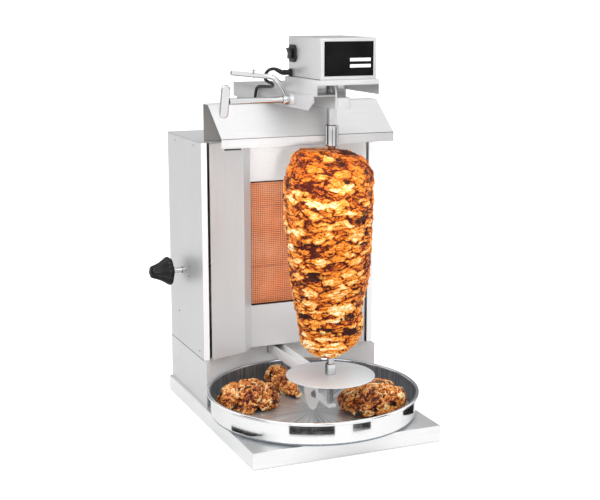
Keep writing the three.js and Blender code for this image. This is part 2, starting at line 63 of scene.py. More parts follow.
BODY_OF = {n: b for b, ns in REC["behaviour"]["bodies"].items() for n in ns}
scene = bpy.context.scene
RNG = np.random.default_rng(7)

# working coordinates, mm: x = 0 middle plane, y = 0 front edge of the base tray, z = 0 standing surface
_lo, _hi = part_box("base_tray")
OX, OY = (_lo.x + _hi.x) / 2, _lo.y


def W(x, y, z):
    return Vector((x / 1000 + OX, y / 1000 + OY, z / 1000))


# ------------------------------------------------------------------ camera
cam_data = bpy.data.cameras.new("camera")
cam = bpy.data.objects.new("camera", cam_data)
scene.collection.objects.link(cam)
cam.location = W(-1047.02, -2198.58, 949.27)
cam.rotation_euler = (math.radians(90 - 11.63), 0, math.radians(-22.97))
cam_data.sensor_width = 36
cam_data.lens = 72.505
cam_data.clip_start, cam_data.clip_end = 0.05, 60
scene.camera = cam


# ------------------------------------------------------------------ node helpers
class Mat:
    def __init__(self, name, color=(0.5, 0.5, 0.5), rough=0.4, metal=0.0, **kw):
        m = bpy.data.materials.new(name)
        m.use_nodes = True
        self.m, self.t = m, m.node_tree
        self.b = self.t.nodes["Principled BSDF"]
        self.b.inputs["Base Color"].default_value = (*color, 1)
        self.b.inputs["Roughness"].default_value = rough
        self.b.inputs["Metallic"].default_value = metal
        for k, v in kw.items():
            self.b.inputs[k].default_value = v
        self.co = None

    def node(self, kind, **kw):
        n = self.t.nodes.new(kind)
        for k, v in kw.items():
            setattr(n, k, v)
        return n

    def link(self, a, b):
        self.t.links.new(a, b)

    def coords(self, scale=(1, 1, 1), rot=(0, 0, 0), loc=(0, 0, 0)):
        if self.co is None:
            self.co = self.node("ShaderNodeTexCoord")
        mp = self.node("ShaderNodeMapping")
        mp.inputs["Scale"].default_value = scale
        mp.inputs["Rotation"].default_value = rot
        mp.inputs["Location"].default_value = loc
        self.link(self.co.outputs["Object"], mp.inputs["Vector"])
        return mp.outputs["Vector"]

    def noise(self, vec, scale=10.0, detail=3.0, rough=0.5, distort=0.0):
        n = self.node("ShaderNodeTexNoise")
        n.inputs["Scale"].default_value = scale
        n.inputs["Detail"].default_value = detail
        n.inputs["Roughness"].default_value = rough
        n.inputs["Distortion"].default_value = distort
        self.link(vec, n.inputs["Vector"])
        return n.outputs["Fac"]

    def ramp(self, fac, stops, interp="LINEAR"):
        r = self.node("ShaderNodeValToRGB")
        r.color_ramp.interpolation = interp
        e = r.color_ramp.elements
        while len(e) < len(stops):
            e.new(0.5)
        for el, (p, c) in zip(e, stops):
            el.position = p
            el.color = (*c, 1) if len(c) == 3 else c
        self.link(fac, r.inputs["Fac"])
        return r.outputs["Color"]

    def range(self, fac, a, b, lo=0.0, hi=1.0):
        r = self.node("ShaderNodeMapRange")
        r.inputs["From Min"].default_value = lo
        r.inputs["From Max"].default_value = hi
        r.inputs["To Min"].default_value = a
        r.inputs["To Max"].default_value = b
        self.link(fac, r.inputs["Value"])
        return r.outputs["Result"]

    def mix(self, fac, a, b, mode="MIX"):
        n = self.node("ShaderNodeMix", data_type="RGBA", blend_type=mode)
        for s, v in ((n.inputs[0], fac), (n.inputs[6], a), (n.inputs[7], b)):
            if isinstance(v, (int, float)):
                s.default_value = v
            elif isinstance(v, tuple):
                s.default_value = (*v, 1)
            else:
                self.link(v, s)
        return n.outputs[2]

    def math(self, op, a, b=0.0):
        n = self.node("ShaderNodeMath", operation=op)
        for s, v in ((n.inputs[0], a), (n.inputs[1], b)):
            if isinstance(v, (int, float)):
                s.default_value = v
            else:
                self.link(v, s)
        return n.outputs[0]

    def bump(self, height, strength=0.3, dist=0.001, normal=None):
        n = self.node("ShaderNodeBump")
        n.inputs["Strength"].default_value = strength
        n.inputs["Distance"].default_value = dist
        self.link(height, n.inputs["Height"])
        if normal is not None:
            self.link(normal, n.inputs["Normal"])
        self.link(n.outputs["Normal"], self.b.inputs["Normal"])
        return n.outputs["Normal"]


def brushed(name, grain, base=0.8, rough=0.3, spread=0.08, tint=(1.0, 1.0, 1.005), depth=0.00012, smudge=0.05, fine=900.0, metal=1.0, edge=None, painted_shade_fade=None):
    """grain is the axis the brushing runs along: x, y, z, or r for rings round the vertical axis of the spit."""
    m = Mat(name, tuple(base * t for t in tint), rough, metal)
    if edge is not None:
        m.b.inputs["Specular Tint"].default_value = (edge, edge, edge, 1)
    if grain == "r":
        co = m.coords((1, 1, 1), loc=tuple(-c for c in W(0, 102, 0)))
        sep = m.node("ShaderNodeSeparateXYZ")
        m.link(co, sep.inputs[0])
        r2 = m.math("ADD", m.math("MULTIPLY", sep.outputs[0], sep.outputs[0]), m.math("MULTIPLY", sep.outputs[1], sep.outputs[1]))
        r = m.math("SQRT", r2)
        comb = m.node("ShaderNodeCombineXYZ")
        m.link(m.math("MULTIPLY", r, fine), comb.inputs[0])
        m.link(m.math("MULTIPLY", sep.outputs[2], fine * 0.3), comb.inputs[1])
        g = m.noise(comb.outputs[0], 1.0, 4, 0.7)
    else:
        s = {"x": (fine * 0.012, fine, fine), "y": (fine, fine * 0.012, fine), "z": (fine, fine, fine * 0.012)}[grain]
        g = m.noise(m.coords(s), 1.0, 3, 0.65)
    wide = m.noise(m.coords(), 6.0, 4, 0.6, 0.4)
    marks = m.noise(m.coords((1, 1, 1), loc=(0.3, 0.2, 0.1)), 45.0, 5, 0.7)
    rr = m.math("ADD", m.range(g, rough - spread, rough + spread), m.range(wide, -smudge, smudge, 0.3, 0.7))
    rr = m.math("ADD", rr, m.range(marks, 0.0, smudge * 0.8, 0.55, 0.75))
    m.link(rr, m.b.inputs["Roughness"])
    a, b = base * 0.93, min(1.0, base * 1.05)
    c = m.mix(m.range(g, 0, 1, 0.3, 0.7), tuple(a * t for t in tint), tuple(b * t for t in tint))
    c = m.mix(m.range(wide, 0, 0.25, 0.4, 0.7), c, tuple(base * 0.9 * t for t in tint))
    # painted shade: the colour darkens towards the bottom of the part, between two heights
    if painted_shade_fade:
        sz = m.node("ShaderNodeSeparateXYZ")
        m.link(m.coords(), sz.inputs[0])
        c = m.mix(m.range(sz.outputs[2], 1.0, 0.0, painted_shade_fade[0], painted_shade_fade[1]), c, tuple(base * painted_shade_fade[2] * t for t in tint))
    m.link(c, m.b.inputs["Base Color"])
    m.bump(g, 0.25, depth)
    return m.m


def plastic(name, color, rough, grain=900.0, depth=0.00008, vary=0.15, spec=0.5):
    m = Mat(name, color, rough, 0.0)
    m.b.inputs["Specular IOR Level"].default_value = spec
    g = m.noise(m.coords(), grain, 3, 0.6)
    w = m.noise(m.coords(), 14.0, 4, 0.6)
    m.link(m.math("ADD", m.range(g, rough - 0.05, rough + 0.05), m.range(w, -0.06, 0.08, 0.3, 0.7)), m.b.inputs["Roughness"])
    c = m.mix(m.range(w, 0, 1, 0.35, 0.65), color, tuple(min(1, v * (1 + vary) + 0.004) for v in color))
    m.link(c, m.b.inputs["Base Color"])
    m.bump(g, 0.3, depth)
    return m.m


# the side panels, wings and burner panel are painted darker towards the bottom, as shade
M_SIDE = brushed("steel_side_panel", "z", 0.72, 0.42, 0.05, metal=0.9, painted_shade_fade=(0.144, 0.64, 0.88))
# a whiter, nearly non-metal copy of the side steel for the forward faces of the flanges: painted light
M_FLANGE_LIT = brushed("steel_flange_painted_light", "z", 1.0, 0.5, 0.04, metal=0.1)
# a white, non-metal copy of the plinth steel for its concave front: painted light
M_COVE_LIT = brushed("steel_cove_painted_light", "z", 1.0, 0.55, 0.04, metal=0.0, tint=(0.97, 1.0, 1.02))
M_WING = brushed("steel_wing", "z", 0.84, 0.5, 0.05, metal=0.7, tint=(0.985, 1.0, 1.01), painted_shade_fade=(0.144, 0.6, 0.94))
M_FRONT = brushed("steel_burner_panel", "x", 1.0, 0.5, 0.05, metal=0.45, painted_shade_fade=(0.2, 0.5, 0.78), tint=(0.985, 1.0, 1.01))
M_HOOD = brushed("steel_hood", "x", 0.54, 0.5, 0.05, metal=0.25)
# a darker copy of the hood steel for the inside and underside of the hood: painted shade
M_HOOD_SHADE = brushed("steel_hood_inside_painted_shade", "x", 0.24, 0.55, 0.05, metal=0.7, tint=(1.0, 0.98, 0.96))
M_BASE = brushed("steel_base", "x", 0.88, 0.4, 0.06, metal=0.85)
M_PLINTH = brushed("steel_plinth", "x", 0.68, 0.42, 0.06, metal=0.8)
M_HEAD = brushed("steel_head", "x", 0.7, 0.4, 0.06, metal=0.8)
M_BAR = brushed("steel_bar", "y", 0.64, 0.36, 0.06, metal=0.75)
M_CHANNEL = brushed("steel_channel", "y", 0.6, 0.4, 0.06, metal=0.7)
# a near-white, mostly non-metal copy of the steel for the lower arm under the meat: painted light against its shade
M_ARM_LIT = brushed("steel_arm_painted_light", "y", 0.99, 0.5, 0.05, metal=0.15)
M_DISC = brushed("steel_disc", "r", 0.86, 0.46, 0.08, tint=(0.9, 0.965, 1.0), depth=0.0003, fine=1400.0, metal=0.5)
M_BRIGHT = brushed("polished_bar", "z", 0.7, 0.1, 0.03, depth=0.00003, smudge=0.02, edge=0.05)
M_BRIGHT_X = brushed("polished_rod", "x", 0.7, 0.14, 0.03, depth=0.00003, smudge=0.02, edge=0.05)
M_DULL = brushed("dull_steel", "y", 0.42, 0.5, 0.08)
M_SCREW = brushed("screw_steel", "x", 0.4, 0.3, 0.08)
M_BRASS = brushed("brass", "y", 0.62, 0.3, 0.08, tint=(1.0, 0.8, 0.42))
M_COPPER = brushed("copper", "y", 0.6, 0.3, 0.08, tint=(1.0, 0.6, 0.42))


def pan_steel():
    """Spun and polished outside and rim, satin inside. The floor's colour carries light and dark streaks that run out
    from the middle, which are painted sheen, and the inner wall is painted darker, as shade.
    """
    m = Mat("spun_pan", (0.8, 0.81, 0.82), 0.2, 0.8)
    sep = m.node("ShaderNodeSeparateXYZ")
    m.link(m.coords((1, 1, 1), loc=tuple(-c for c in W(0, 197, 0))), sep.inputs[0])
    x, y, z = sep.outputs
    r = m.math("SQRT", m.math("ADD", m.math("MULTIPLY", x, x), m.math("MULTIPLY", y, y)))
    ang = m.math("ARCTAN2", y, x)
    inner = m.math("MULTIPLY", m.math("LESS_THAN", r, 0.2312), m.math("GREATER_THAN", z, 0.0385))
    wall = m.math("MULTIPLY", inner, m.range(r, 0.0, 1.0, 0.2245, 0.2285))
    floor_ = m.math("MULTIPLY", inner, m.math("SUBTRACT", 1.0, wall))
    cv = m.node("ShaderNodeCombineXYZ")
    m.link(m.math("MULTIPLY", ang, 26.0), cv.inputs[0])
    m.link(m.math("MULTIPLY", r, 3.0), cv.inputs[1])
    rays = m.noise(cv.outputs[0], 1.0, 4, 0.65)
    cw = m.node("ShaderNodeCombineXYZ")
    m.link(m.math("MULTIPLY", ang, 150.0), cw.inputs[0])
    m.link(m.math("MULTIPLY", z, 6.0), cw.inputs[1])
    fine = m.noise(cw.outputs[0], 1.0, 3, 0.6)
    cr = m.node("ShaderNodeCombineXYZ")
    m.link(m.math("MULTIPLY", r, 420.0), cr.inputs[0])
    m.link(m.math("MULTIPLY", z, 160.0), cr.inputs[1])
    rings = m.noise(cr.outputs[0], 1.0, 3, 0.6)
    dull = m.noise(m.coords(), 30.0, 5, 0.7)
    # painted sheen: light and dark streaks in the floor colour; painted shade: the dark inner wall
    floor_sheen_colour = m.mix(m.range(rays, 0, 1, 0.42, 0.6), (0.5, 0.53, 0.56), (0.97, 1.0, 1.0))
    wall_shade_colour = m.mix(m.range(fine, 0, 1, 0.34, 0.66), (0.10, 0.125, 0.15), (0.40, 0.44, 0.48))
    c = m.mix(floor_, (0.88, 0.885, 0.89), floor_sheen_colour)
    m.link(m.math("SUBTRACT", 0.985, m.math("MULTIPLY", inner, 0.25)), m.b.inputs["Metallic"])
    c = m.mix(wall, c, wall_shade_colour)
    m.link(c, m.b.inputs["Base Color"])
    ro = m.math("ADD", 0.07, m.math("MULTIPLY", floor_, 0.27))
    ro = m.math("ADD", ro, m.math("MULTIPLY", wall, 0.26))
    ro = m.math("ADD", ro, m.range(rings, -0.03, 0.05, 0.3, 0.7))
    ro = m.math("ADD", ro, m.range(dull, 0.0, 0.08, 0.5, 0.75))
    m.link(ro, m.b.inputs["Roughness"])
    m.bump(m.math("ADD", rings, m.math("MULTIPLY", m.math("MULTIPLY", fine, wall), 1.0)), 0.12, 0.00006)
    return m.m


M_PAN = pan_steel()
M_BLACK = plastic("black_plastic", (0.006, 0.006, 0.0065), 0.4, spec=0.28)
M_PLATE = plastic("black_plate", (0.0012, 0.0012, 0.0015), 0.4, 1500.0, 0.00003, spec=0.08)
M_WHITE = plastic("white_label", (0.82, 0.82, 0.82), 0.5, 1500.0, 0.00003, 0.05)
M_CORD = plastic("cord_rubber", (0.006, 0.006, 0.006), 0.5, 600.0, 0.00006, spec=0.3)
M_FOOT = plastic("foot_rubber", (0.02, 0.02, 0.02), 0.75, 400.0, 0.0002)
M_MOTOR = plastic("motor_paint", (0.12, 0.125, 0.13), 0.45, 300.0, 0.0002)
M_DARK = plastic("shadow_black", (0.02, 0.02, 0.022), 0.7, 300.0, 0.0001)


def ceramic():
    m = Mat("burner_ceramic", (0.62, 0.3, 0.2), 0.85, 0.0)
    v = m.node("ShaderNodeTexVoronoi", feature="F1")
    v.inputs["Scale"].default_value = 420.0
    v.inputs["Randomness"].default_value = 0.12
    m.link(m.coords((1, 0.02, 1)), v.inputs["Vector"])
    w = m.noise(m.coords(), 9.0, 5, 0.65)
    holes = m.range(v.outputs["Distance"], 0.0, 1.0, 0.18, 0.38)
    base = m.ramp(w, [(0.3, (1.0, 0.36, 0.16)), (0.5, (1.0, 0.54, 0.29)), (0.72, (1.0, 0.72, 0.46))])
    # the holes are only a bump; their dark colour is painted shade
    m.link(m.mix(holes, (0.35, 0.09, 0.04), base), m.b.inputs["Base Color"])
    m.b.inputs["Emission Color"].default_value = (1.0, 0.3, 0.12, 1)
    m.b.inputs["Emission Strength"].default_value = 0.34
    m.bump(holes, 0.6, 0.0012)
    return m.m


def mesh_wire():
    m = Mat("burner_wire", (0.7, 0.33, 0.2), 0.45, 0.35)
    w = m.noise(m.coords(), 30.0, 5, 0.65)
    m.link(m.ramp(w, [(0.3, (0.14, 0.03, 0.012)), (0.5, (0.26, 0.06, 0.028)), (0.7, (0.5, 0.18, 0.1))]), m.b.inputs["Base Color"])
    m.link(m.range(w, 0.35, 0.6), m.b.inputs["Roughness"])
    m.b.inputs["Metallic"].default_value = 0.0
    m.b.inputs["Emission Color"].default_value = (1.0, 0.36, 0.18, 1)
    m.b.inputs["Emission Strength"].default_value = 0.01
    return m.m


M_SEAM = plastic("ceramic_cord", (1.0, 0.42, 0.24), 0.8, 500.0, 0.0004, 0.1, 0.2)
M_CERAMIC = ceramic()
M_WIRE = mesh_wire()

# ------------------------------------------------------------------ mesh helpers (all in working mm)


def new_object(name, verts, faces, material, body, replaces=(), smooth=40, colors=None):
    me = bpy.data.meshes.new(name)
    v = np.asarray(verts, float) / 1000 + np.array([OX, OY, 0])
    me.from_pydata([tuple(p) for p in v], [], [tuple(int(i) for i in f) for f in faces])
    me.update()
    ob = bpy.data.objects.new(name, me)
    scene.collection.objects.link(ob)
    return finish_object(ob, material, body, replaces, smooth)


def finish_object(ob, material, body, replaces=(), smooth=40):
    me = ob.data
    bm = bmesh.new()
    bm.from_mesh(me)
    bmesh.ops.remove_doubles(bm, verts=bm.verts, dist=1e-7)
    bmesh.ops.recalc_face_normals(bm, faces=bm.faces)
    bm.to_mesh(me)
    bm.free()
    me.materials.clear()
    me.materials.append(material)
    if smooth:
        me.shade_smooth() if hasattr(me, "shade_smooth") else None
        me.set_sharp_from_angle(angle=math.radians(smooth))
    if body:
        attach(ob, body)
    if replaces:
        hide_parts(*([replaces] if isinstance(replaces, str) else replaces))
    return ob


def apply_modifiers(ob):
    dg = bpy.context.evaluated_depsgraph_get()
    me = bpy.data.meshes.new_from_object(ob.evaluated_get(dg))
    ob.modifiers.clear()
    old = ob.data
    ob.data = me
    bpy.data.meshes.remove(old)
    return ob


def refine(node, material, bevel=0.6, seg=2, angle=28, name=None, smooth=35, flatten=True, weighted=False):
    """A copy of a CAD node with its edges rounded, standing for that node."""
    src = frame["nodes"][node]
    me = src.data.copy()
    ob = bpy.data.objects.new((name or node) + "_fine", me)
    scene.collection.objects.link(ob)
    bm = bmesh.new()
    bm.from_mesh(me)
    bmesh.ops.remove_doubles(bm, verts=bm.verts, dist=2e-6)
    bmesh.ops.recalc_face_normals(bm, faces=bm.faces)
    if flatten:
        bmesh.ops.dissolve_limit(bm, angle_limit=math.radians(1.0), use_dissolve_boundaries=False, verts=bm.verts, edges=bm.edges)
    bm.to_mesh(me)
    bm.free()
    for a in list(me.attributes):
        if a.name.startswith("sharp") or a.name == "custom_normal":
            try:
                me.attributes.remove(a)
            except Exception:
                pass
    me.shade_smooth()
    if bevel:
        mod = ob.modifiers.new("bevel", "BEVEL")
        mod.width = bevel / 1000
        mod.segments = seg
        mod.limit_method = "ANGLE"
        mod.angle_limit = math.radians(angle)
        mod.use_clamp_overlap = True
        mod.harden_normals = False
        bpy.context.view_layer.update()
        apply_modifiers(ob)
    me = ob.data
    me.materials.clear()
    me.materials.append(material)
    me.shade_smooth()
    me.set_sharp_from_angle(angle=math.radians(smooth))
    if weighted:
        mod = ob.modifiers.new("normals", "WEIGHTED_NORMAL")
        mod.keep_sharp = True
        mod.weight = 80
        bpy.context.view_layer.update()
        apply_modifiers(ob)
    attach(ob, BODY_OF[node])
    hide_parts(node)
    return ob


def lathe(profile, centre, axis="z", seg=96, closed=False):
    """Verts and faces of a turned shape. profile is (radius, height) pairs, from the axis back to the axis unless closed."""
    V, F = [], []
    ring = []
    n = len(profile)
    for r, h in profile:
        if r < 1e-9:
            ring.append([len(V)])
            V.append((0, 0, h))
        else:
            ids = []
            for i in range(seg):
                a = 2 * math.pi * i / seg
                ids.append(len(V))
                V.append((r * math.cos(a), r * math.sin(a), h))
            ring.append(ids)
    for k in range(n if closed else n - 1):
        A, B = ring[k], ring[(k + 1) % n]
        for i in range(seg):
            j = (i + 1) % seg
            if len(A) == 1 and len(B) == 1:
                continue
            if len(A) == 1:
                F.append((A[0], B[j], B[i]))
            elif len(B) == 1:
                F.append((A[i], A[j], B[0]))
            else:
                F.append((A[i], A[j], B[j], B[i]))
    V = np.array(V, float)
    if axis == "x":
        V = V[:, [2, 1, 0]] * np.array([1, 1, -1])
    elif axis == "y":
        V = V[:, [0, 2, 1]] * np.array([1, 1, -1])
    return V + np.array(centre, float), F


def rounded(profile, r=0.6, n=3):
    """Rounds the corners of an open profile that starts and ends on the axis."""
    out = [profile[0]]
    for i in range(1, len(profile) - 1):
        p = np.array(profile[i], float)
        a = np.array(profile[i - 1], float) - p
        b = np.array(profile[i + 1], float) - p
        la, lb = np.linalg.norm(a), np.linalg.norm(b)
        if la < 1e-6 or lb < 1e-6:
            continue
        d = min(r, la * 0.45, lb * 0.45)
        pa, pb = p + a / la * d, p + b / lb * d
        for k in range(n + 1):
            t = k / n
            q = (1 - t) ** 2 * pa + 2 * t * (1 - t) * p + t ** 2 * pb
            out.append((float(q[0]), float(q[1])))
    out.append(profile[-1])
    return out


def turned(name, profile, centre, axis, material, body, replaces=(), seg=72, r=0.6, closed=False, smooth=50):
    pr = profile if closed else rounded(profile, r)
    V, F = lathe(pr, centre, axis, seg, closed)
    return new_object(name, V, F, material, body, replaces, smooth)


def tube_mesh(points, radius, sides=16, caps=True):
    """Verts, faces and ring centres of a tube; points are close together, radius is a number or one per point."""
    P = np.asarray(points, float)
    n = len(P)
    T = np.gradient(P, axis=0)
    T /= np.linalg.norm(T, axis=1)[:, None]
    up = np.array([0.0, 0.0, 1.0]) if abs(T[0, 2]) < 0.9 else np.array([0.0, 1.0, 0.0])
    N = np.cross(T[0], up)
    N /= np.linalg.norm(N)
    V, F = [], []
    R = np.full(n, radius, float) if np.isscalar(radius) else np.asarray(radius, float)
    for i in range(n):
        N = N - T[i] * np.dot(N, T[i])
        N /= np.linalg.norm(N)
        B = np.cross(T[i], N)
        for k in range(sides):
            a = 2 * math.pi * k / sides
            V.append(P[i] + R[i] * (math.cos(a) * N + math.sin(a) * B))
    for i in range(n - 1):
        for k in range(sides):
            j = (k + 1) % sides
            F.append((i * sides + k, i * sides + j, (i + 1) * sides + j, (i + 1) * sides + k))
    if caps:
        F.append(tuple(range(sides))[::-1])
        F.append(tuple((n - 1) * sides + k for k in range(sides)))
    return np.array(V), F, P


def smooth_path(points, step):
    """Centripetal Catmull-Rom through the points, resampled at about step mm."""
    P = [np.array(p, float) for p in points]
    P = [2 * P[0] - P[1]] + P + [2 * P[-1] - P[-2]]
    out = []
    for i in range(1, len(P) - 2):
        p0, p1, p2, p3 = P[i - 1:i + 3]
        t0 = 0
        t1 = t0 + np.linalg.norm(p1 - p0) ** 0.5
        t2 = t1 + np.linalg.norm(p2 - p1) ** 0.5
        t3 = t2 + np.linalg.norm(p3 - p2) ** 0.5
        for t in np.linspace(t1, t2, 24, endpoint=False):
            a1 = (t1 - t) / (t1 - t0) * p0 + (t - t0) / (t1 - t0) * p1
            a2 = (t2 - t) / (t2 - t1) * p1 + (t - t1) / (t2 - t1) * p2
            a3 = (t3 - t) / (t3 - t2) * p2 + (t - t2) / (t3 - t2) * p3
            b1 = (t2 - t) / (t2 - t0) * a1 + (t - t0) / (t2 - t0) * a2
            b2 = (t3 - t) / (t3 - t1) * a2 + (t - t1) / (t3 - t1) * a3
            out.append((t2 - t) / (t2 - t1) * b1 + (t - t1) / (t2 - t1) * b2)
    out.append(P[-2])
    out = np.array(out)
    d = np.concatenate([[0], np.cumsum(np.linalg.norm(np.diff(out, axis=0), axis=1))])
    n = max(2, int(d[-1] / step))
    s = np.linspace(0, d[-1], n + 1)
    return np.stack([np.interp(s, d, out[:, k]) for k in range(3)], 1)


def box_mesh(x0, x1, y0, y1, z0, z1):
    V = [(x, y, z) for x in (x0, x1) for y in (y0, y1) for z in (z0, z1)]
    F = [(0, 1, 3, 2), (4, 6, 7, 5), (0, 4, 5, 1), (2, 3, 7, 6), (0, 2, 6, 4), (1, 5, 7, 3)]
    return V, F


def bevelled_box(name, dims, material, body, bevel=0.5, replaces=(), seg=3):
    V, F = box_mesh(*dims)
    ob = new_object(name, V, F, material, None, (), 0)
    mod = ob.modifiers.new("b", "BEVEL")
    mod.width, mod.segments, mod.limit_method = bevel / 1000, seg, "NONE"
    bpy.context.view_layer.update()
    apply_modifiers(ob)
    ob.data.shade_smooth()
    ob.data.set_sharp_from_angle(angle=math.radians(35))
    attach(ob, body)
    if replaces:
        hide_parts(replaces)
    return ob


def dome_screws(name, places, material, body, r=3.2, h=1.6):
    """places are (x, y, z, axis) with axis such as -x for a head that stands out towards -X. A cross recess is pressed in each."""
    V, F = [], []
    seg, prof = 20, [(0.0, h * 0.62), (0.16, h * 0.62), (0.3, h * 0.98), (0.62, h * 0.86), (0.9, h * 0.45), (1.0, 0.08), (1.0, -0.3)]
    for x, y, z, ax in places:
        base = len(V)
        for q, (rr, hh) in enumerate(prof):
            for i in range(seg):
                a = 2 * math.pi * i / seg
                k = 1.0
                if q == 2:
                    k = 1.0 + 0.5 * max(0.0, math.cos(4 * a)) ** 2
                V.append((rr * r * k * math.cos(a), rr * r * k * math.sin(a), hh, x, y, z, ax))
        for q in range(len(prof) - 1):
            for i in range(seg):
                j = (i + 1) % seg
                F.append((base + q * seg + i, base + q * seg + j, base + (q + 1) * seg + j, base + (q + 1) * seg + i))
        F.append(tuple(base + i for i in range(seg))[::-1])
        F.append(tuple(base + (len(prof) - 1) * seg + i for i in range(seg)))
    out = []
    for a, b, c, x, y, z, ax in V:
        s = -1 if ax[0] == "-" else 1
        d = {"x": (s * c, a, b), "y": (a, s * c, b), "z": (a, b, s * c)}[ax[1]]
        out.append((x + d[0], y + d[1], z + d[2]))
    return new_object(name, out, F, material, body, (), 50)


# ------------------------------------------------------------------ mains cord (first, as its room is checked)
CORD_R = 3.3
ROUTE = [
    (-74.5, 172, 803), (-81.2, 172, 803), (-85, 172.2, 803.8), (-90.5, 173.8, 807), (-98, 177, 810.5), (-108, 181.5, 808.5), (-114.5, 187, 799), (-112, 194, 788), (-102, 202, 782), (-91, 212, 778.5),
    (-82, 227, 773), (-76.5, 246, 769), (-74.6, 275, 767), (-74.4, 305, 765.5), (-74.4, 330, 763.5), (-74.4, 344, 758.5), (-74.4, 351, 748), (-74.6, 354.5, 733), (-75, 357.5, 715),
    (-75.6, 363, 692), (-77, 373, 671), (-78.5, 387, 656.5), (-79, 402, 650.8), (-79, 430, 649.2), (-79, 465, 649.1), (-79, 500, 649.1), (-79, 535, 649.2), (-79, 566, 649.7),
    (-79, 583, 650), (-79, 592.5, 644), (-79, 597, 630), (-79, 598, 610), (-79, 598, 560), (-79, 598, 480), (-79, 598, 400), (-79, 598, 320),
    (-79, 598, 240), (-79, 599, 160), (-79, 602, 100), (-79, 610, 55), (-78, 626, 22), (-74, 650, 6.5), (-68, 672, 3.6),
]
coil_c = np.array([-19.4, 700.0])
R_IN, R_OUT = 32.8, 39.6
PI = math.pi


def coil_run(a_from, a_to, r_from, r_to, z_from, z_to, skip_first=True):
    """Points every 25 degrees of a turn; radius and height change over its first 60 degrees."""
    n = max(2, int(round(abs(a_to - a_from) / math.radians(25))))
    out = []
    for k in range(1 if skip_first else 0, n + 1):
        a = a_from + (a_to - a_from) * k / n
        t = min(1.0, abs(a - a_from) / math.radians(60))
        t = t * t * (3 - 2 * t)
        r, z = r_from + (r_to - r_from) * t, z_from + (z_to - z_from) * t
        out.append((coil_c[0] + r * math.cos(a), coil_c[1] + r * math.sin(a), z))
    return out


turns = coil_run(PI, -PI, R_OUT, R_OUT, 3.5, 3.5, False)
turns += coil_run(-PI, -3 * PI, R_OUT, R_IN, 3.5, 3.5)
turns += coil_run(-3 * PI, -5 * PI, R_IN, R_IN, 3.5, 10.1)
turns += coil_run(-5 * PI, -5.5 * PI, R_IN, R_OUT + 0.4, 10.1, 10.3)
end_route = [(-6, 740.0, 11.6), (6, 740.0, 15.6), (16, 740.0, 18.2), (22.5, 740.0, 18.6)]
cord_pts = smooth_path(ROUTE + turns + end_route, 2.2)
V, F, ring_c = tube_mesh(cord_pts, CORD_R, 14)
cord = new_object("mains_cord", V, F, M_CORD, None, (), 50)
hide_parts("cord_lead", "cord_coil", "cord_stub")

# a tapered, ribbed strain relief on the first 26 mm, riding the head
def strain_relief():
    pts = smooth_path([(-73.4, 172, 803), (-81.2, 172, 803), (-85, 172.2, 803.8), (-90.5, 173.8, 807), (-97, 176.6, 810.2)], 0.5)
    n = len(pts)
    rad = []
    for i in range(n):
        t = i / (n - 1)
        r = 5.6 * (1 - t) + 3.75 * t
        rib = 0.45 if (i // 3) % 2 == 0 and 0.12 < t < 0.92 else 0.0
        rad.append(r + rib)
    v, f, _ = tube_mesh(pts, rad, 20)
    return new_object("cord_strain_relief", v, f, M_BLACK, "head", (), 30)


strain_relief()
tv, tf, _ = tube_mesh([(coil_c[0] + 36.2 + 8.6 * math.cos(a), coil_c[1] - 4, 6.9 + 7.6 * math.sin(a)) for a in np.linspace(0, 2 * PI, 41)[:-1]] + [(coil_c[0] + 36.2 + 8.6, coil_c[1] - 4, 6.9)], 0.8, 8)
new_object("cord_tie", tv + np.array([0, 0, 1.7]), tf, M_DARK, "bodywork", (), 50)
refine("mains_plug", M_BLACK, 0.8, 2, 40)
row = lambda p: tuple(W(*p))
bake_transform(cord, "bodywork", "head", start=row((-90, 190, 766)), end=row((-90, 190, 801)))

# ------------------------------------------------------------------ sheet metal and frames
refine("base_tray", M_BASE, 1.6, 4, weighted=True)
for f in ("foot_front_left", "foot_front_right", "foot_rear_left", "foot_rear_right"):
    refine(f, M_FOOT, 0.6, 2)
pl = refine("plinth", M_PLINTH, 0.9, 3, 30, weighted=True)
# the faces of the concave front take the white copy of the steel: painted light
pl.data.materials.append(M_COVE_LIT)
for p_ in pl.data.polygons:
    c_ = p_.center
    x_, y_ = (c_.x - OX) * 1000, (c_.y - OY) * 1000
    if abs(math.hypot(x_, y_ - 197) - 243) < 1.6 and abs(p_.normal.z) < 0.3:
        p_.material_index = 1
for n in ("side_panel_left", "side_panel_right"):
    sp_ = refine(n, M_SIDE, 0.7, 3, weighted=True)
    # the forward faces of the front flanges take the lighter copy of the steel: painted light
    sp_.data.materials.append(M_FLANGE_LIT)
    for p_ in sp_.data.polygons:
        if p_.normal.y < -0.8 and (p_.center.y - OY) * 1000 < 331:
            p_.material_index = 1
# joint lines under the casing sides; dark strips along the fold of the hood, under the hood lip and round the burner
# opening, which are painted shade
# dark joint lines, and the dark strip under the hood lip, which is painted shade
M_JOINT_AND_SHADE = plastic("joint_line_and_shade", (0.035, 0.035, 0.037), 0.6, 600.0, 0.00005, 0.1, 0.2)
# dark brown for the strips round the burner opening: painted shade of the recess
M_BURNER_RECESS_SHADE = plastic("burner_recess_shade", (0.022, 0.009, 0.006), 0.6, 600.0, 0.0001, 0.3, 0.2)
# dark grey for the strip along the hood's fold: painted shade
M_FOLD_SHADE = plastic("fold_shadow", (0.045, 0.045, 0.047), 0.5, 600.0, 0.00005, 0.1, 0.3)
for i, sx in enumerate((-1, 1)):
    a_, b_ = sorted((sx * 213.3, sx * 212.4))
    bevelled_box(f"casing_joint_{i}", (a_, b_, 331, 578, 143.2, 144.5), M_JOINT_AND_SHADE, "bodywork", 0.1, (), 1)
bevelled_box("hood_fold_shadow", (-203.6, 203.6, 213.6, 214.8, 661.6, 662.9), M_FOLD_SHADE, "bodywork", 0.2, (), 1)
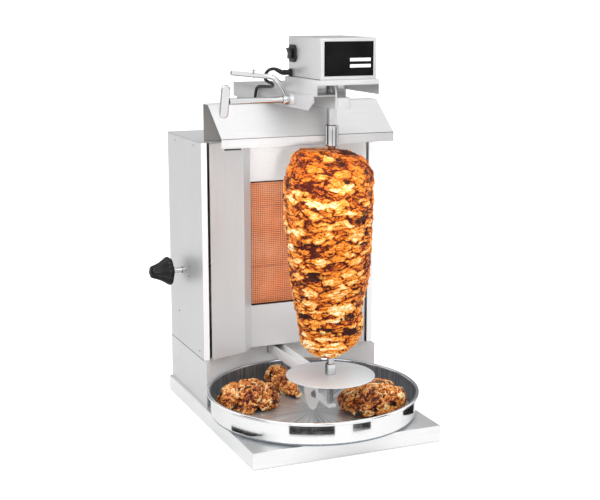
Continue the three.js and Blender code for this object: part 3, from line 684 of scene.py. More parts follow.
# a dark strip under the left end of the hood lip: painted shade
bevelled_box("hood_lip_shadow", (-198, -160, 214.6, 217.2, 638.4, 641.8), M_JOINT_AND_SHADE, "bodywork", 0.4, (), 2)
# dark strips round the burner opening: painted shade in the recess behind the panel
for i, (a_, b_, c_, d_) in enumerate(((-79, -71.9, 239.5, 548), (71.9, 79, 239.5, 548), (-79, 79, 239.5, 249.6), (-79, 79, 537.2, 548))):
    bevelled_box(f"burner_recess_shade_{i}", (a_, b_, 394.6, 396.2, c_, d_), M_BURNER_RECESS_SHADE, "bodywork", 0.2, (), 1)
refine("back_panel", M_SIDE, 0.35, 2, weighted=True)
refine("top_panel", M_HOOD, 0.8, 3, weighted=True)
refine("wing_left", M_WING, 0.5, 2, weighted=True)
refine("wing_right", M_WING, 0.5, 2, weighted=True)
refine("burner_panel", M_FRONT, 0.5, 2, weighted=True)
hood = refine("heat_hood", M_HOOD, 0.6, 3)
# the inner rear faces and the underside of the hood take the darker copy: painted shade
hood.data.materials.append(M_HOOD_SHADE)
for p_ in hood.data.polygons:
    c_ = p_.center
    y_, z_ = (c_.y - OY) * 1000, c_.z * 1000
    if (p_.normal.y < -0.8 and y_ > 320 and z_ < 727.5) or (p_.normal.z < -0.3 and z_ > 643):
        p_.material_index = 1
refine("arm_support", M_CHANNEL, 0.6, 2)
refine("upper_arm_channel", M_CHANNEL, 0.6, 2)
refine("lower_arm_guide", M_DULL, 0.4, 2)
refine("burner_box", M_DULL, 0.6, 2)
refine("venturi_tube", M_DULL, 0.3, 2, 40)
refine("gas_pipe", M_BRASS, 0.3, 2, 40)
refine("gas_valve", M_BRASS, 0.6, 2, 40)
refine("gas_inlet", M_BRASS, 0.3, 2, 40)
refine("thermocouple", M_COPPER, 0, 1, 40)

# ------------------------------------------------------------------ head
refine("head_bar", M_BAR, 0.8, 3)
refine("motor_mount", M_HEAD, 0.7, 3)
refine("motor_housing", M_HEAD, 1.3, 4)
refine("gearbox_case", M_DULL, 0.6, 2)
refine("motor_body", M_MOTOR, 0.6, 2, 40)
refine("switch_bezel", M_BLACK, 0.9, 3)
refine("switch_rocker", M_BLACK, 0.7, 3)
refine("drive_gear", M_BRASS, 0.2, 1, 40)
refine("motor_pinion", M_SCREW, 0.2, 1, 40)
refine("cable_gland", M_BLACK, 0.3, 2, 40)
refine("front_plate", M_PLATE, 0.5, 3)
turned("bearing_tube_fine", [(10.4, 731.8), (12.2, 731.8), (12.2, 792.2), (10.4, 792.2)], (0, 102, 0), "z", M_BRIGHT, "head", "bearing_tube", 64, closed=True)
for i, (z0, z1) in enumerate(((818.8, 825.2), (831.2, 837.8))):
    bevelled_box(f"plate_strip_{i}", (2.5, 48.5, 19.65, 20.25, z0, z1), M_WHITE, "head", 0.25, ())
dome_screws("housing_screws", [(-50, 40, 877.85, "+z"), (50, 40, 877.85, "+z"), (-50, 168, 877.85, "+z"), (50, 168, 877.85, "+z")], M_SCREW, "head", 3.0, 0.0)

for i, sx in enumerate((-1, 1)):
    a_, b_ = sorted((sx * 62.3, sx * 61.4))
    bevelled_box(f"housing_joint_{i}", (a_, b_, 22.5, 186.5, 794.5, 795.8), M_JOINT_AND_SHADE, "head", 0.1, (), 1)

# ------------------------------------------------------------------ spit line
refine("spit", M_BRIGHT, 0.7, 3, 30)
refine("drive_shaft", M_BRIGHT, 0.6, 3, 30)
turned("spit_disc_fine", [(6.6, 150.5), (96.0, 150.5), (97, 151.2), (97, 152.3), (96.0, 153), (6.6, 153)], (0, 102, 0), "z", M_DISC, "spit_body", "spit_disc", 160, closed=True, smooth=35)
refine("disc_hub", M_BRIGHT, 0.9, 3)
# the lower arm takes the lighter copy of the steel: painted light
refine("lower_arm", M_ARM_LIT, 0.5, 3)
refine("arm_bolt", M_SCREW, 0.5, 2)
sleeve = refine("coupling_sleeve", M_BRIGHT, 0.7, 3, 40)

# ------------------------------------------------------------------ clamp screw, grip, lever
turned("clamp_screw_fine", [(0, -209.8), (6.5, -209.8), (6.5, -18.2), (0, -18.2)], (0, 148, 748), "x", M_BRIGHT_X, "clamp", "clamp_screw", 40, 0.8)
refine("clamp_grip", M_BRIGHT, 3.2, 5, 30)
refine("bent_lever", M_BRIGHT_X, 0.8, 3, 35)

pv, pf, _ = tube_mesh([(-156, 148, 794.6), (-156, 148, 811.4)], 1.5, 12)
new_object("lever_pin", pv, pf, M_SCREW, "release_lever", (), 40)
turned("lever_pin_head", [(0, 809.4), (3.2, 809.4), (3.4, 810.2), (2.8, 811.8), (0, 812)], (-156, 148, 0), "z", M_SCREW, "release_lever", (), 20)

# ------------------------------------------------------------------ drip pan
P, R = 236, 90.5
pan_prof = [
    (0, 38.3), (P - 12, 38.3), (P - 6.5, 41), (P - 4.6, 46), (P - 4.56, 47.5), (P - 3.63, R - 6), (P - 3.6, R - 5), (P + 0.5, R - 4.6),
    (P + 3.2, R - 2.2), (P + 3.7, R + 0.8), (P + 2, R + 3.2), (P - 1, R + 4), (P - 4, R + 2.6), (P - 5.4, R - 1),
    (P - 6.2, 47), (P - 8, 42.2), (P - 12.5, 40.2), (0, 40.2),
]
turned("drip_pan_fine", pan_prof, (0, 197, 0), "z", M_PAN, "bodywork", "drip_pan", 200, 0.9, smooth=50)

# ------------------------------------------------------------------ knob and stem
turned("valve_stem_fine", [(0, -234.7), (6, -234.7), (6, -183), (0, -183)], (0, 486, 326), "x", M_BRIGHT_X, "knob_stem", "valve_stem", 40, 0.8)
M_KNOB = plastic("knob_plastic", (0.0035, 0.0035, 0.004), 0.24, spec=0.24)


def lobed_knob():
    """A six-lobed knob about the stem: a narrow nose, a waist that opens towards the casing, and a rounded skirt."""
    lo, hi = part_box("gas_knob")
    x0, x1 = (lo.x - OX) * 1000, (hi.x - OX) * 1000
    rmax = min(hi.y - lo.y, hi.z - lo.z) * 500 - 0.1
    L = x1 - x0
    prof = [(0.0, 0.0, 0.0), (0.0, 0.22, 0.0), (0.03, 0.36, 0.2), (0.1, 0.44, 0.6), (0.25, 0.52, 1.0), (0.42, 0.64, 1.0), (0.58, 0.8, 1.0), (0.68, 0.93, 1.0), (0.76, 0.995, 0.9), (0.83, 1.0, 0.7), (0.89, 0.93, 0.4), (0.93, 0.7, 0.1), (0.95, 0.45, 0.0), (1.0, 0.42, 0.0), (1.0, 0.205, 0.0)]
    seg = 96
    V, F = [], []
    for t, k, lobe in prof:
        for i in range(seg):
            a = 2 * math.pi * i / seg
            r = rmax * k * (1 - 0.16 * lobe * (0.5 - 0.5 * math.cos(6 * a)) ** 1.5)
            V.append((x0 + 0.1 + (L - 0.2) * t, 486 + r * math.cos(a), 326 + r * math.sin(a)))
    n = len(prof)
    for q in range(n - 1):
        for i in range(seg):
            j = (i + 1) % seg
            F.append((q * seg + i, q * seg + j, (q + 1) * seg + j, (q + 1) * seg + i))
    for i in range(seg):
        j = (i + 1) % seg
        F.append(((n - 1) * seg + i, (n - 1) * seg + j, j, i))
    return new_object("gas_knob_fine", V, F, M_KNOB, "knob", "gas_knob", 50)


lobed_knob()

# ------------------------------------------------------------------ burner
for n in ("ceramic_plaque_bottom", "ceramic_plaque_middle", "ceramic_plaque_top"):
    refine(n, M_CERAMIC, 0.9, 2)


for i, z in enumerate((336.0, 480.0)):
    bevelled_box(f"plaque_seam_{i}", (-79, 79, 407.6, 409.6, z - 1.9, z + 1.9), M_SEAM, "bodywork", 0.5, ())


def wire_grid():
    """Woven guard of round wires."""
    V, F = [], []

    def bar(p, q, r, sides=6):
        base = len(V)
        d = np.array(q, float) - p
        steps = 2
        v, f, _ = tube_mesh([np.array(p) + d * t for t in np.linspace(0, 1, steps)], r, sides)
        V.extend(v.tolist())
        F.extend([tuple(base + i for i in g) for g in f])

    x0, x1, z0, z1 = -79, 79, 239.2, 548.2
    pitch = 4.6
    for i in range(int((x1 - x0) / pitch)):
        x = x0 + pitch * (i + 0.6)
        bar((x, 404.6, z0), (x, 404.6, z1), 0.42)
    for j in range(int((z1 - z0) / pitch)):
        z = z0 + pitch * (j + 0.6)
        bar((x0, 403.9, z), (x1, 403.9, z), 0.42)
    return new_object("burner_mesh_fine", V, F, M_WIRE, "bodywork", "burner_mesh", 60)


wire_grid()

# ------------------------------------------------------------------ small screws on the casing
dome_screws("casing_screws_left", [(-213, 519, 631, "-x"), (-213, 382, 633, "-x"), (-213, 514, 220, "-x"), (-213, 436, 321, "-x"), (-213, 360, 160, "-x")], M_SCREW, "bodywork", 2.8, 1.4)
dome_screws("casing_screws_right", [(213, 519, 631, "+x"), (213, 382, 633, "+x"), (213, 514, 220, "+x"), (213, 360, 160, "+x")], M_SCREW, "bodywork", 2.8, 1.4)
dome_screws("casing_screws_back", [(x, 579.8, z, "+y") for x in (-196, 196) for z in (160, 390, 625)], M_SCREW, "bodywork", 2.8, 1.4)


# ------------------------------------------------------------------ meat
def meat_material():
    m = Mat("cooked_meat", (0.6, 0.3, 0.1), 0.45, 0.0)
    m.b.inputs["Specular IOR Level"].default_value = 0.16
    a = m.node("ShaderNodeAttribute", attribute_name="meat_tone")
    d = m.node("ShaderNodeAttribute", attribute_name="meat_char_and_shade")
    f1 = m.noise(m.coords((1, 1, 2.6)), 85.0, 6, 0.7, 1.6)
    f2 = m.noise(m.coords((1, 1, 3.4), rot=(0.12, -0.1, 0)), 300.0, 4, 0.7, 1.0)
    tone = m.math("ADD", a.outputs["Fac"], m.range(f1, -0.2, 0.2, 0.34, 0.66))
    tone = m.math("ADD", tone, m.range(f2, -0.15, 0.15, 0.32, 0.68))
    col = m.ramp(tone, [(0.0, (0.07, 0.008, 0.003)), (0.1, (0.34, 0.045, 0.004)), (0.22, (0.7, 0.15, 0.008)), (0.4, (0.87, 0.29, 0.025)), (0.58, (0.95, 0.48, 0.095)), (0.74, (0.99, 0.75, 0.36)), (0.9, (1.0, 0.94, 0.76))])
    # char holds real char together with painted shade in the crevices
    char = m.math("ADD", d.outputs["Fac"], m.range(f1, -0.16, 0.16, 0.34, 0.66))
    char_and_shade_m = m.range(char, 0.0, 1.0, 0.45, 0.95)
    col = m.mix(char_and_shade_m, col, (0.04, 0.007, 0.004))
    m.link(col, m.b.inputs["Base Color"])
    m.link(m.math("ADD", m.range(f2, 0.22, 0.46, 0.3, 0.7), m.math("MULTIPLY", char_and_shade_m, 0.12)), m.b.inputs["Roughness"])
    h = m.math("ADD", m.math("MULTIPLY", f1, 0.65), m.math("MULTIPLY", f2, 0.35))
    m.bump(h, 0.6, 0.0022)
    return m.m


M_MEAT = meat_material()


def cell_field(p, seed, size):
    """Nearest and second distance, and the random value of the nearest, of a jittered 3-D lattice stretched by size."""
    q = p / np.array(size)
    base = np.floor(q).astype(int)
    best = np.full(len(p), 9.0)
    second = np.full(len(p), 9.0)
    val = np.zeros(len(p))
    val2 = np.zeros(len(p))

    def h(c, k):
        x = (c[:, 0] * 73856093) ^ (c[:, 1] * 19349663) ^ (c[:, 2] * 83492791) ^ (seed * 2654435761 + k * 40503)
        x = (x ^ (x >> 13)) * 1274126177
        x = x ^ (x >> 16)
        return (x & 0xFFFFF) / float(0xFFFFF)

    for dx in (-1, 0, 1):
        for dy in (-1, 0, 1):
            for dz in (-1, 0, 1):
                c = base + np.array([dx, dy, dz])
                j = np.stack([h(c, 1), h(c, 2), h(c, 3)], 1)
                d = np.linalg.norm(c + 0.12 + 0.76 * j - q, axis=1)
                nearer = d < best
                second = np.where(nearer, best, np.minimum(second, d))
                val = np.where(nearer, h(c, 4), val)
                val2 = np.where(nearer, h(c, 5), val2)
                best = np.where(nearer, d, best)
    return best, second, val, val2


def fbm(p, scale, octaves=3, seed=0.0):
    out = np.empty(len(p))
    off = Vector((seed, seed * 1.7, -seed))
    for i, q in enumerate(p):
        out[i] = noise.fractal(Vector(q) * scale + off, 0.6, 2.0, octaves, noise_basis="PERLIN_ORIGINAL")
    return out


def attribute(me, name, values):
    a = me.attributes.new(name, "FLOAT", "POINT")
    a.data.foreach_set("value", np.asarray(values, np.float32))


def meat_cone():
    prof = [(9.4, 192), (20, 192), (42, 199), (60, 212), (67, 224), (74.5, 267), (80, 307), (90, 360), (96.5, 421), (100.5, 474), (104, 522), (104, 574), (98, 602), (84, 619), (70, 632), (42, 643), (20, 645), (9.4, 645)]
    pr = np.array(prof, float)
    d = np.concatenate([[0], np.cumsum(np.linalg.norm(np.diff(pr, axis=0), axis=1))])
    nz, nt = 330, 400
    s = np.linspace(0, d[-1], nz)
    r, z = np.interp(s, d, pr[:, 0]), np.interp(s, d, pr[:, 1])
    for _ in range(3):
        r[1:-1] = 0.25 * r[:-2] + 0.5 * r[1:-1] + 0.25 * r[2:]
        z[1:-1] = 0.25 * z[:-2] + 0.5 * z[1:-1] + 0.25 * z[2:]
    th = np.arange(nt) * 2 * PI / nt
    Rm, Th = np.meshgrid(r, th, indexing="ij")
    Zm, _ = np.meshgrid(z, th, indexing="ij")
    base = np.stack([Rm * np.cos(Th), Rm * np.sin(Th), Zm], -1).reshape(-1, 3)
    dr, dz = np.gradient(r), np.gradient(z)
    ln = np.hypot(dr, dz)
    nr, nzv = dz / ln, -dr / ln
    N = np.stack([np.outer(nr, np.cos(th)), np.outer(nr, np.sin(th)), np.outer(nzv, np.ones(nt))], -1).reshape(-1, 3)
    w1 = fbm(base, 0.022, 3, 3.1)
    w2 = fbm(base, 0.022, 3, 9.7)
    warp = base.copy()
    warp[:, 2] += 7 * w1 + 0.16 * base[:, 0] * np.sin(base[:, 2] * 0.013)
    warp[:, 0] += 8 * w2
    warp[:, 1] -= 8 * w2
    b1, s1, v1, u1 = cell_field(warp, 11, (40, 40, 11.5))
    b2, s2, v2, u2 = cell_field(warp * 1.0 + 17.3, 23, (17, 17, 5.2))
    e1 = np.clip((s1 - b1) / 0.26, 0, 1)
    e2 = np.clip((s2 - b2) / 0.3, 0, 1)
    disp = 3.2 * (np.sqrt(e1) - 1) + 3.8 * (v1 - 1) + 1.3 * (np.sqrt(e2) - 1) + 1.7 * (v2 - 1)
    th_all = np.tile(th, nz)
    z_all = base[:, 2]
    side = np.clip(np.cos(th_all + math.radians(22.97)), 0, 1) ** 1.3
    lean = np.interp(z_all, [195, 215, 240, 262, 280, 307, 342, 377, 430, 480, 535, 569, 590, 615, 640], [14, 9, 3, 0, 5, 10, 8, 5, 8, 10, 12, 13, 10, 4, 0])
    disp -= side * lean
    left = np.clip(-np.cos(th_all + math.radians(22.97)), 0, 1)
    disp += left * np.interp(z_all, [600, 618, 634, 642], [0, 6, 15, 8])
    inner = np.clip((np.repeat(r, nt) - 9.4) / 25.0, 0, 1)
    disp = disp * inner + 0.6 * inner
    co = base + N * disp[:, None]
    rad = np.hypot(co[:, 0], co[:, 1])
    lift = np.maximum(9.4 / np.maximum(rad, 1e-6), 1)
    co[:, 0] *= lift
    co[:, 1] *= lift
    co[:, 2] = np.clip(co[:, 2], 192, 645)
    big = fbm(base * np.array([1, 1, 1.6]), 0.016, 2, 21.0)
    patch = fbm(base * np.array([1, 1, 2.4]), 0.03, 3, 33.0)
    tone = 0.26 + 0.44 * v1 + 0.18 * (v2 - 0.5) + 0.16 * big
    tone += 0.2 * (u1 > 0.85) * e1                       # pale, uncharred faces of some slices
    # painted shade: darker at the edges of the slices, in the crevices between them
    tone -= 0.46 * (1 - e1) ** 1.6 + 0.28 * (1 - e2) ** 1.5
    grain = 1 - np.abs(fbm(warp * np.array([1, 1, 3.6]), 0.045, 3, 71.0)) * 5.0
    tone -= 0.3 * np.clip(grain, 0, 1) ** 2
    alpha = np.mod(th_all + math.radians(112.97) + PI, 2 * PI) - PI      # zero on the side of the operator's left, where the cone faces out
    rr_all = np.repeat(r, nt)
    ragged = 0.55 * fbm(base * np.array([1, 1, 1.8]), 0.07, 3, 55.0) + 0.25 * (v2 - 0.5)

    def spots(rows):
        out = np.zeros(len(base))
        for a0, z0, hw, hh in rows:
            du = np.mod(alpha - math.radians(a0) + PI, 2 * PI) - PI
            q = (du * rr_all / hw) ** 2 + ((z_all - z0 - 3 * w1) / hh) ** 2
            out = np.maximum(out, np.clip(1.25 + ragged * 1.6 - q, 0, 1))
        return out

    rng = np.random.default_rng(7)
    more_dark = [(float(rng.uniform(85, 275)), float(rng.uniform(215, 630)), float(rng.uniform(12, 34)), float(rng.uniform(4, 12))) for _ in range(26)]
    more_pale = [(float(rng.uniform(80, 290)), float(rng.uniform(205, 600)), float(rng.uniform(14, 34)), float(rng.uniform(5, 11))) for _ in range(34)]
    dark = spots([(7, 628, 22, 10.8), (17, 589, 12, 4.9), (-3, 596, 12, 5.9), (43, 510, 25, 14.7), (-23, 390, 22, 13.7), (-66, 581, 18, 12.2), (79, 641, 41, 3.9), (54, 608, 16, 7.8), (42, 456, 29, 3.9), (-28, 456, 32, 3.4), (36, 299, 28, 6.9), (-45, 298, 27, 5.9),
                  (-17, 272, 30, 3.9), (33, 260, 40, 5.4), (-56, 444, 16, 6.9), (55, 478, 13, 14.7), (37, 360, 15, 4.4), (-46, 370, 15, 4.4), (1, 311, 29, 2.9), (45, 321, 14, 5.9)] + more_dark)
    pale = spots([(-15, 419, 20, 11.8), (-26, 547, 19, 10.8), (-46, 481, 22, 10.8), (7, 570, 19, 6.9), (31, 473, 23, 7.8), (6, 348, 21, 9.8), (-31, 351, 22, 7.8), (-37, 326, 18, 7.8), (15, 319, 42, 10.8), (-6, 493, 16, 5.4), (-42, 564, 22, 5.9), (22, 522, 20, 6.4),
                  (-2, 540, 16, 6.4), (-12, 250, 37, 3.9), (5, 238, 31, 3.4), (-19, 227, 33, 3.4), (-3, 211, 26, 3.9), (24, 434, 18, 5.4), (-52, 383, 17, 7.8), (19, 390, 17, 4.9), (-59, 552, 15, 5.9), (41, 547, 13, 5.9), (16, 370, 15, 4.4), (-57, 253, 12, 5.9)] + more_pale)
    crown = np.clip((z_all - 585) / 25, 0, 1)
    # char holds real char patches and, at the slice edges, painted shade in the crevices
    char = np.clip(patch - 0.42, 0, 1) * 2.0 * (1 - 0.85 * crown) + (1 - e1) * 0.25 + dark * 1.15 * (0.65 + 0.35 * (1 - v1))
    tone = tone * (1 - 0.8 * pale) + 0.8 * pale * (0.93 - 0.3 * (1 - e2) ** 2 - 0.2 * np.clip(grain, 0, 1) ** 2)
    char *= 1 - pale
    band = 0.75 * np.exp(-((z_all + 12 * w1 - 268) / 4.5) ** 2) + 0.5 * np.exp(-((z_all + 12 * w1 - 292) / 3.5) ** 2) + 0.35 * np.exp(-((z_all + 10 * w2 - 236) / 2.5) ** 2)
    char += band + 0.45 * np.exp(-((z_all - 585) / 30) ** 2) * side
    tone = tone * (1 - 0.36 * crown) + 0.07 * crown - 0.03
    char -= 0.35 * crown * (1 - side)
    tone += 0.12 * np.clip((300 - z_all) / 90, 0, 1)
    V = co + np.array([0, 102, 0])
    F = []
    for i in range(nz - 1):
        for k in range(nt):
            j = (k + 1) % nt
            F.append((i * nt + k, i * nt + j, (i + 1) * nt + j, (i + 1) * nt + k))
    for k in range(nt):                                   # bore round the spit bar
        j = (k + 1) % nt
        F.append(((nz - 1) * nt + k, (nz - 1) * nt + j, j, k))
    me = bpy.data.meshes.new("meat_cone_fine")
    vv = V / 1000 + np.array([OX, OY, 0])
    me.from_pydata(vv.tolist(), [], F)
    me.update()
    attribute(me, "meat_tone", tone)
    attribute(me, "meat_char_and_shade", char)
    ob = bpy.data.objects.new("meat_cone_fine", me)
    scene.collection.objects.link(ob)
    me.materials.append(M_MEAT)
    me.shade_smooth()
    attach(ob, "spit_body")
    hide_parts("meat_cone")
    return ob


meat_cone()


def chicken_material():
    m = Mat("roast_chicken", (0.5, 0.2, 0.07), 0.36, 0.0)
    m.b.inputs["Specular IOR Level"].default_value = 0.45
    a = m.node("ShaderNodeAttribute", attribute_name="meat_tone")
    d = m.node("ShaderNodeAttribute", attribute_name="meat_char_and_shade")
    f1 = m.noise(m.coords(), 120.0, 6, 0.72, 1.0)
    f2 = m.noise(m.coords(), 320.0, 4, 0.7, 0.4)
    tone = m.math("ADD", a.outputs["Fac"], m.range(f1, -0.3, 0.3, 0.34, 0.66))
    tone = m.math("ADD", tone, m.range(f2, -0.14, 0.14, 0.32, 0.68))
    col = m.ramp(tone, [(0.0, (0.06, 0.008, 0.003)), (0.2, (0.28, 0.045, 0.008)), (0.4, (0.62, 0.15, 0.02)), (0.58, (0.86, 0.32, 0.055)), (0.76, (0.94, 0.55, 0.17)), (0.95, (1.0, 0.8, 0.48))])
    char_and_shade_m = m.range(m.math("ADD", d.outputs["Fac"], m.range(f2, -0.12, 0.12, 0.3, 0.7)), 0.0, 1.0, 0.5, 1.0)
    col = m.mix(char_and_shade_m, col, (0.03, 0.009, 0.006))
    m.link(col, m.b.inputs["Base Color"])
    m.link(m.range(f2, 0.2, 0.46, 0.3, 0.7), m.b.inputs["Roughness"])
    m.bump(m.math("ADD", m.math("MULTIPLY", f1, 0.6), m.math("MULTIPLY", f2, 0.4)), 0.5, 0.0018)
    return m.m


M_CHICKEN = chicken_material()


def shreds(co, faces, lo, hi, count, seed):
    """Thin pulled strips of meat laid over a pile, following its surface."""
    rng = np.random.default_rng(100 + int(seed))
    tree = BVHTree.FromPolygons([tuple(p) for p in co], faces)
    V, F, T = [], [], []
    tries = 0
    while len(V) // 1 < 10 ** 9 and count > 0 and tries < 4000:
        tries += 1
        x, y = rng.uniform(lo[0] + 12, hi[0] - 12), rng.uniform(lo[1] + 12, hi[1] - 12)
        ang, L, bend, rad = rng.uniform(0, PI), rng.uniform(18, 40), rng.uniform(-0.03, 0.03), rng.uniform(1.0, 2.0)
        pts = []
        for t in np.linspace(-0.5, 0.5, 9):
            a = ang + bend * L * t
            px, py = x + L * t * math.cos(a), y + L * t * math.sin(a)
            hit = tree.ray_cast(Vector((px, py, hi[2] + 20)), Vector((0, 0, -1)))
            if hit[0] is None:
                pts = []
                break
            pts.append((px, py, min(hit[0].z + rad * 0.45, hi[2] - rad - 0.3)))
        if len(pts) < 9 or max(p[2] for p in pts) - min(p[2] for p in pts) > 16:
            continue
        p = smooth_path(pts, 1.2)
        n = len(p)
        rads = [rad * max(0.25, math.sin(PI * (i + 0.6) / (n + 0.2)) ** 0.5) for i in range(n)]
        v, f, _ = tube_mesh(p, rads, 8)
        base = len(V)
        V.extend(np.asarray(v).tolist())
        F.extend([tuple(base + int(i) for i in g) for g in f])
        tone = rng.uniform(0.45, 0.95)
        T.extend([tone] * len(v))
        count -= 1
    return np.array(V).reshape(-1, 3), F, np.array(T)


def pile(node, lobes, name, seed, strips=12):
    """Pieces of roast meat pressed together. Each lobe is a centre, three radii and a turn; all stay inside the CAD node's box."""
    lo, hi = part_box(node)
    lo = np.array([(lo.x - OX) * 1000, (lo.y - OY) * 1000, lo.z * 1000])
    hi = np.array([(hi.x - OX) * 1000, (hi.y - OY) * 1000, hi.z * 1000])
    metas = []
    bm = bmesh.new()
    for (cx, cy, cz, rx, ry, rz, turn, tilt) in lobes:
        r = bmesh.ops.create_icosphere(bm, subdivisions=4, radius=1.0)
        M = Matrix.Translation((cx, cy, cz)) @ Matrix.Rotation(turn, 4, "Z") @ Matrix.Rotation(tilt, 4, "Y") @ Matrix.Diagonal((rx, ry, rz, 1))
        bmesh.ops.transform(bm, matrix=M, verts=r["verts"])
    me = bpy.data.meshes.new(name)
    bm.to_mesh(me)
    bm.free()
    ob = bpy.data.objects.new(name, me)
    scene.collection.objects.link(ob)
    mod = ob.modifiers.new("r", "REMESH")
    mod.mode, mod.voxel_size = "VOXEL", 1.7
    bpy.context.view_layer.update()
    apply_modifiers(ob)
    me = ob.data
    n = len(me.vertices)
    co = np.empty(n * 3, np.float32)
    me.vertices.foreach_get("co", co)
    co = co.reshape(-1, 3).astype(float)
    no = np.empty(n * 3, np.float32)
    me.vertices.foreach_get("normal", no)
    no = no.reshape(-1, 3).astype(float)
    w = fbm(co, 0.03, 3, seed)
    q = co.copy()
    q[:, 2] += 9 * w
    q[:, 0] += 8 * w
    q[:, 1] -= 8 * fbm(co, 0.03, 3, seed + 2)
    b1, s1, v1, u1 = cell_field(q, 31 + int(seed), (27, 15, 12))
    b2, s2, v2, u2 = cell_field(q + 5.1, 47 + int(seed), (10, 6, 5))
    e1 = np.clip((s1 - b1) / 0.3, 0, 1)
    e2 = np.clip((s2 - b2) / 0.4, 0, 1)
    gap1 = np.full(n, 99.0)
    gap2 = np.full(n, 99.0)
    which = np.zeros(n, int)
    for k_, (cx, cy, cz, rx, ry, rz, turn, tilt) in enumerate(lobes):
        c_, s_ = math.cos(turn), math.sin(turn)
        dx, dy, dz = co[:, 0] - cx, co[:, 1] - cy, co[:, 2] - cz
        g_ = np.sqrt(((dx * c_ + dy * s_) / rx) ** 2 + ((-dx * s_ + dy * c_) / ry) ** 2 + (dz / rz) ** 2) + 0.12 * w
        near_ = g_ < gap1
        gap2 = np.where(near_, gap1, np.minimum(gap2, g_))
        which = np.where(near_, k_, which)
        gap1 = np.where(near_, g_, gap1)
    part = np.clip((gap2 - gap1) / 0.16, 0, 1)
    piece_tone = np.random.default_rng(500 + int(seed)).uniform(-0.13, 0.13, len(lobes))[which]
    spin = np.random.default_rng(700 + int(seed)).uniform(-0.9, 0.9, len(lobes))[which] + np.array([l_[6] for l_ in lobes])[which]
    cs, sn = np.cos(spin), np.sin(spin)
    loc = np.stack([q[:, 0] * cs + q[:, 1] * sn + 40.0 * which, -q[:, 0] * sn + q[:, 1] * cs, q[:, 2]], 1)
    b3, s3, v3, u3 = cell_field(loc, 61 + int(seed), (30, 6.4, 6.0))
    e3 = np.clip((s3 - b3) / 0.3, 0, 1)
    fold = 1 - np.abs(fbm(q * np.array([1, 1, 1.5]), 0.045, 3, seed + 11)) * 3.2
    fold = np.clip(fold, -0.6, 1)
    crease = 1 - np.abs(fbm(q, 0.11, 3, seed + 17)) * 3.0
    crease = np.clip(crease, -0.5, 1)
    disp = 3.4 * (np.sqrt(e1) - 0.7) + 3.6 * (v1 - 0.35) + 0.8 * (np.sqrt(e2) - 0.8) - 3.4 * (fold > 0.0) * np.clip(fold, 0, 1) ** 3 - 1.5 * np.clip(crease, 0, 1) ** 3 + 2.0 * fbm(co, 0.06, 2, seed + 4)
    disp += 1.5 * (v3 - 0.5) + 1.1 * (np.sqrt(e3) - 0.7) - 4.2 * (1 - part) ** 2
    co += no * disp[:, None]
    co = np.clip(co, lo + 0.2, hi - 0.2)
    # painted shade: the colour darkens in the crevices between cells, in folds and creases, and where the pieces meet
    tone = 0.42 + 0.34 * v1 + 0.16 * (v2 - 0.5) + 0.22 * (u1 > 0.75) * e1 - 0.26 * (1 - e1) - 0.1 * (1 - e2)
    tone -= 0.42 * np.clip(fold, 0, 1) ** 3 + 0.22 * np.clip(crease, 0, 1) ** 3
    patch = fbm(co, 0.045, 3, seed + 8)
    # the middle pile is lifted lighter, painted light against the shade it sits in; the other dark terms are painted
    # shade in crevices and between the pieces
    tone += 0.34 * (v3 - 0.5) - 0.26 * (1 - e3) ** 1.5 + 0.22 * (u3 > 0.84) * e3 + piece_tone + (0.2 if node == "chicken_middle" else 0.08) - 0.22 * (1 - part) ** 2
    # char: painted shade between the pieces, in crevices and folds, with real char patches
    char = 0.6 * (1 - part) ** 2 + (1 - e1) * 0.22 + np.clip(patch - 0.2, 0, 1) * 2.4 + 0.5 * np.clip(fold, 0, 1) ** 4
    # painted shade: darker towards the bottom of the pile, where it sits in the pan
    low = np.clip((lo[2] + 8 - co[:, 2]) / 8, 0, 1)
    char += 0.3 * low
    faces = [tuple(p.vertices) for p in me.polygons]
    sv, sf, st = shreds(co, faces, lo, hi, strips, seed)
    if len(sv):
        sv = np.clip(sv, lo + 0.2, hi - 0.2)
        faces = faces + [tuple(len(co) + i for i in f) for f in sf]
        co = np.concatenate([co, sv])
        tone = np.concatenate([tone, st])
        char = np.concatenate([char, np.full(len(sv), 0.12)])
    old = ob.data
    me = bpy.data.meshes.new(name)
    me.from_pydata((co / 1000 + np.array([OX, OY, 0])).tolist(), [], faces)
    me.update()
    ob.data = me
    bpy.data.meshes.remove(old)
    attribute(me, "meat_tone", tone)
    attribute(me, "meat_char_and_shade", char)
    me.materials.append(M_CHICKEN)
    me.shade_smooth()
    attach(ob, "bodywork")
    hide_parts(node)
    return ob


def around(cx, cy, turn, lobes, k=1.0, kz=1.0):
    """Turns lobes given about a pile's own middle and long axis into the frame of the machine."""
    c, s_ = math.cos(turn), math.sin(turn)
    return [(cx + k * (u * c - v * s_), cy + k * (u * s_ + v * c), 40.5 + (z - 40.5) * kz, a * k, b * k, h * kz, t + turn, tilt) for (u, v, z, a, b, h, t, tilt) in lobes]


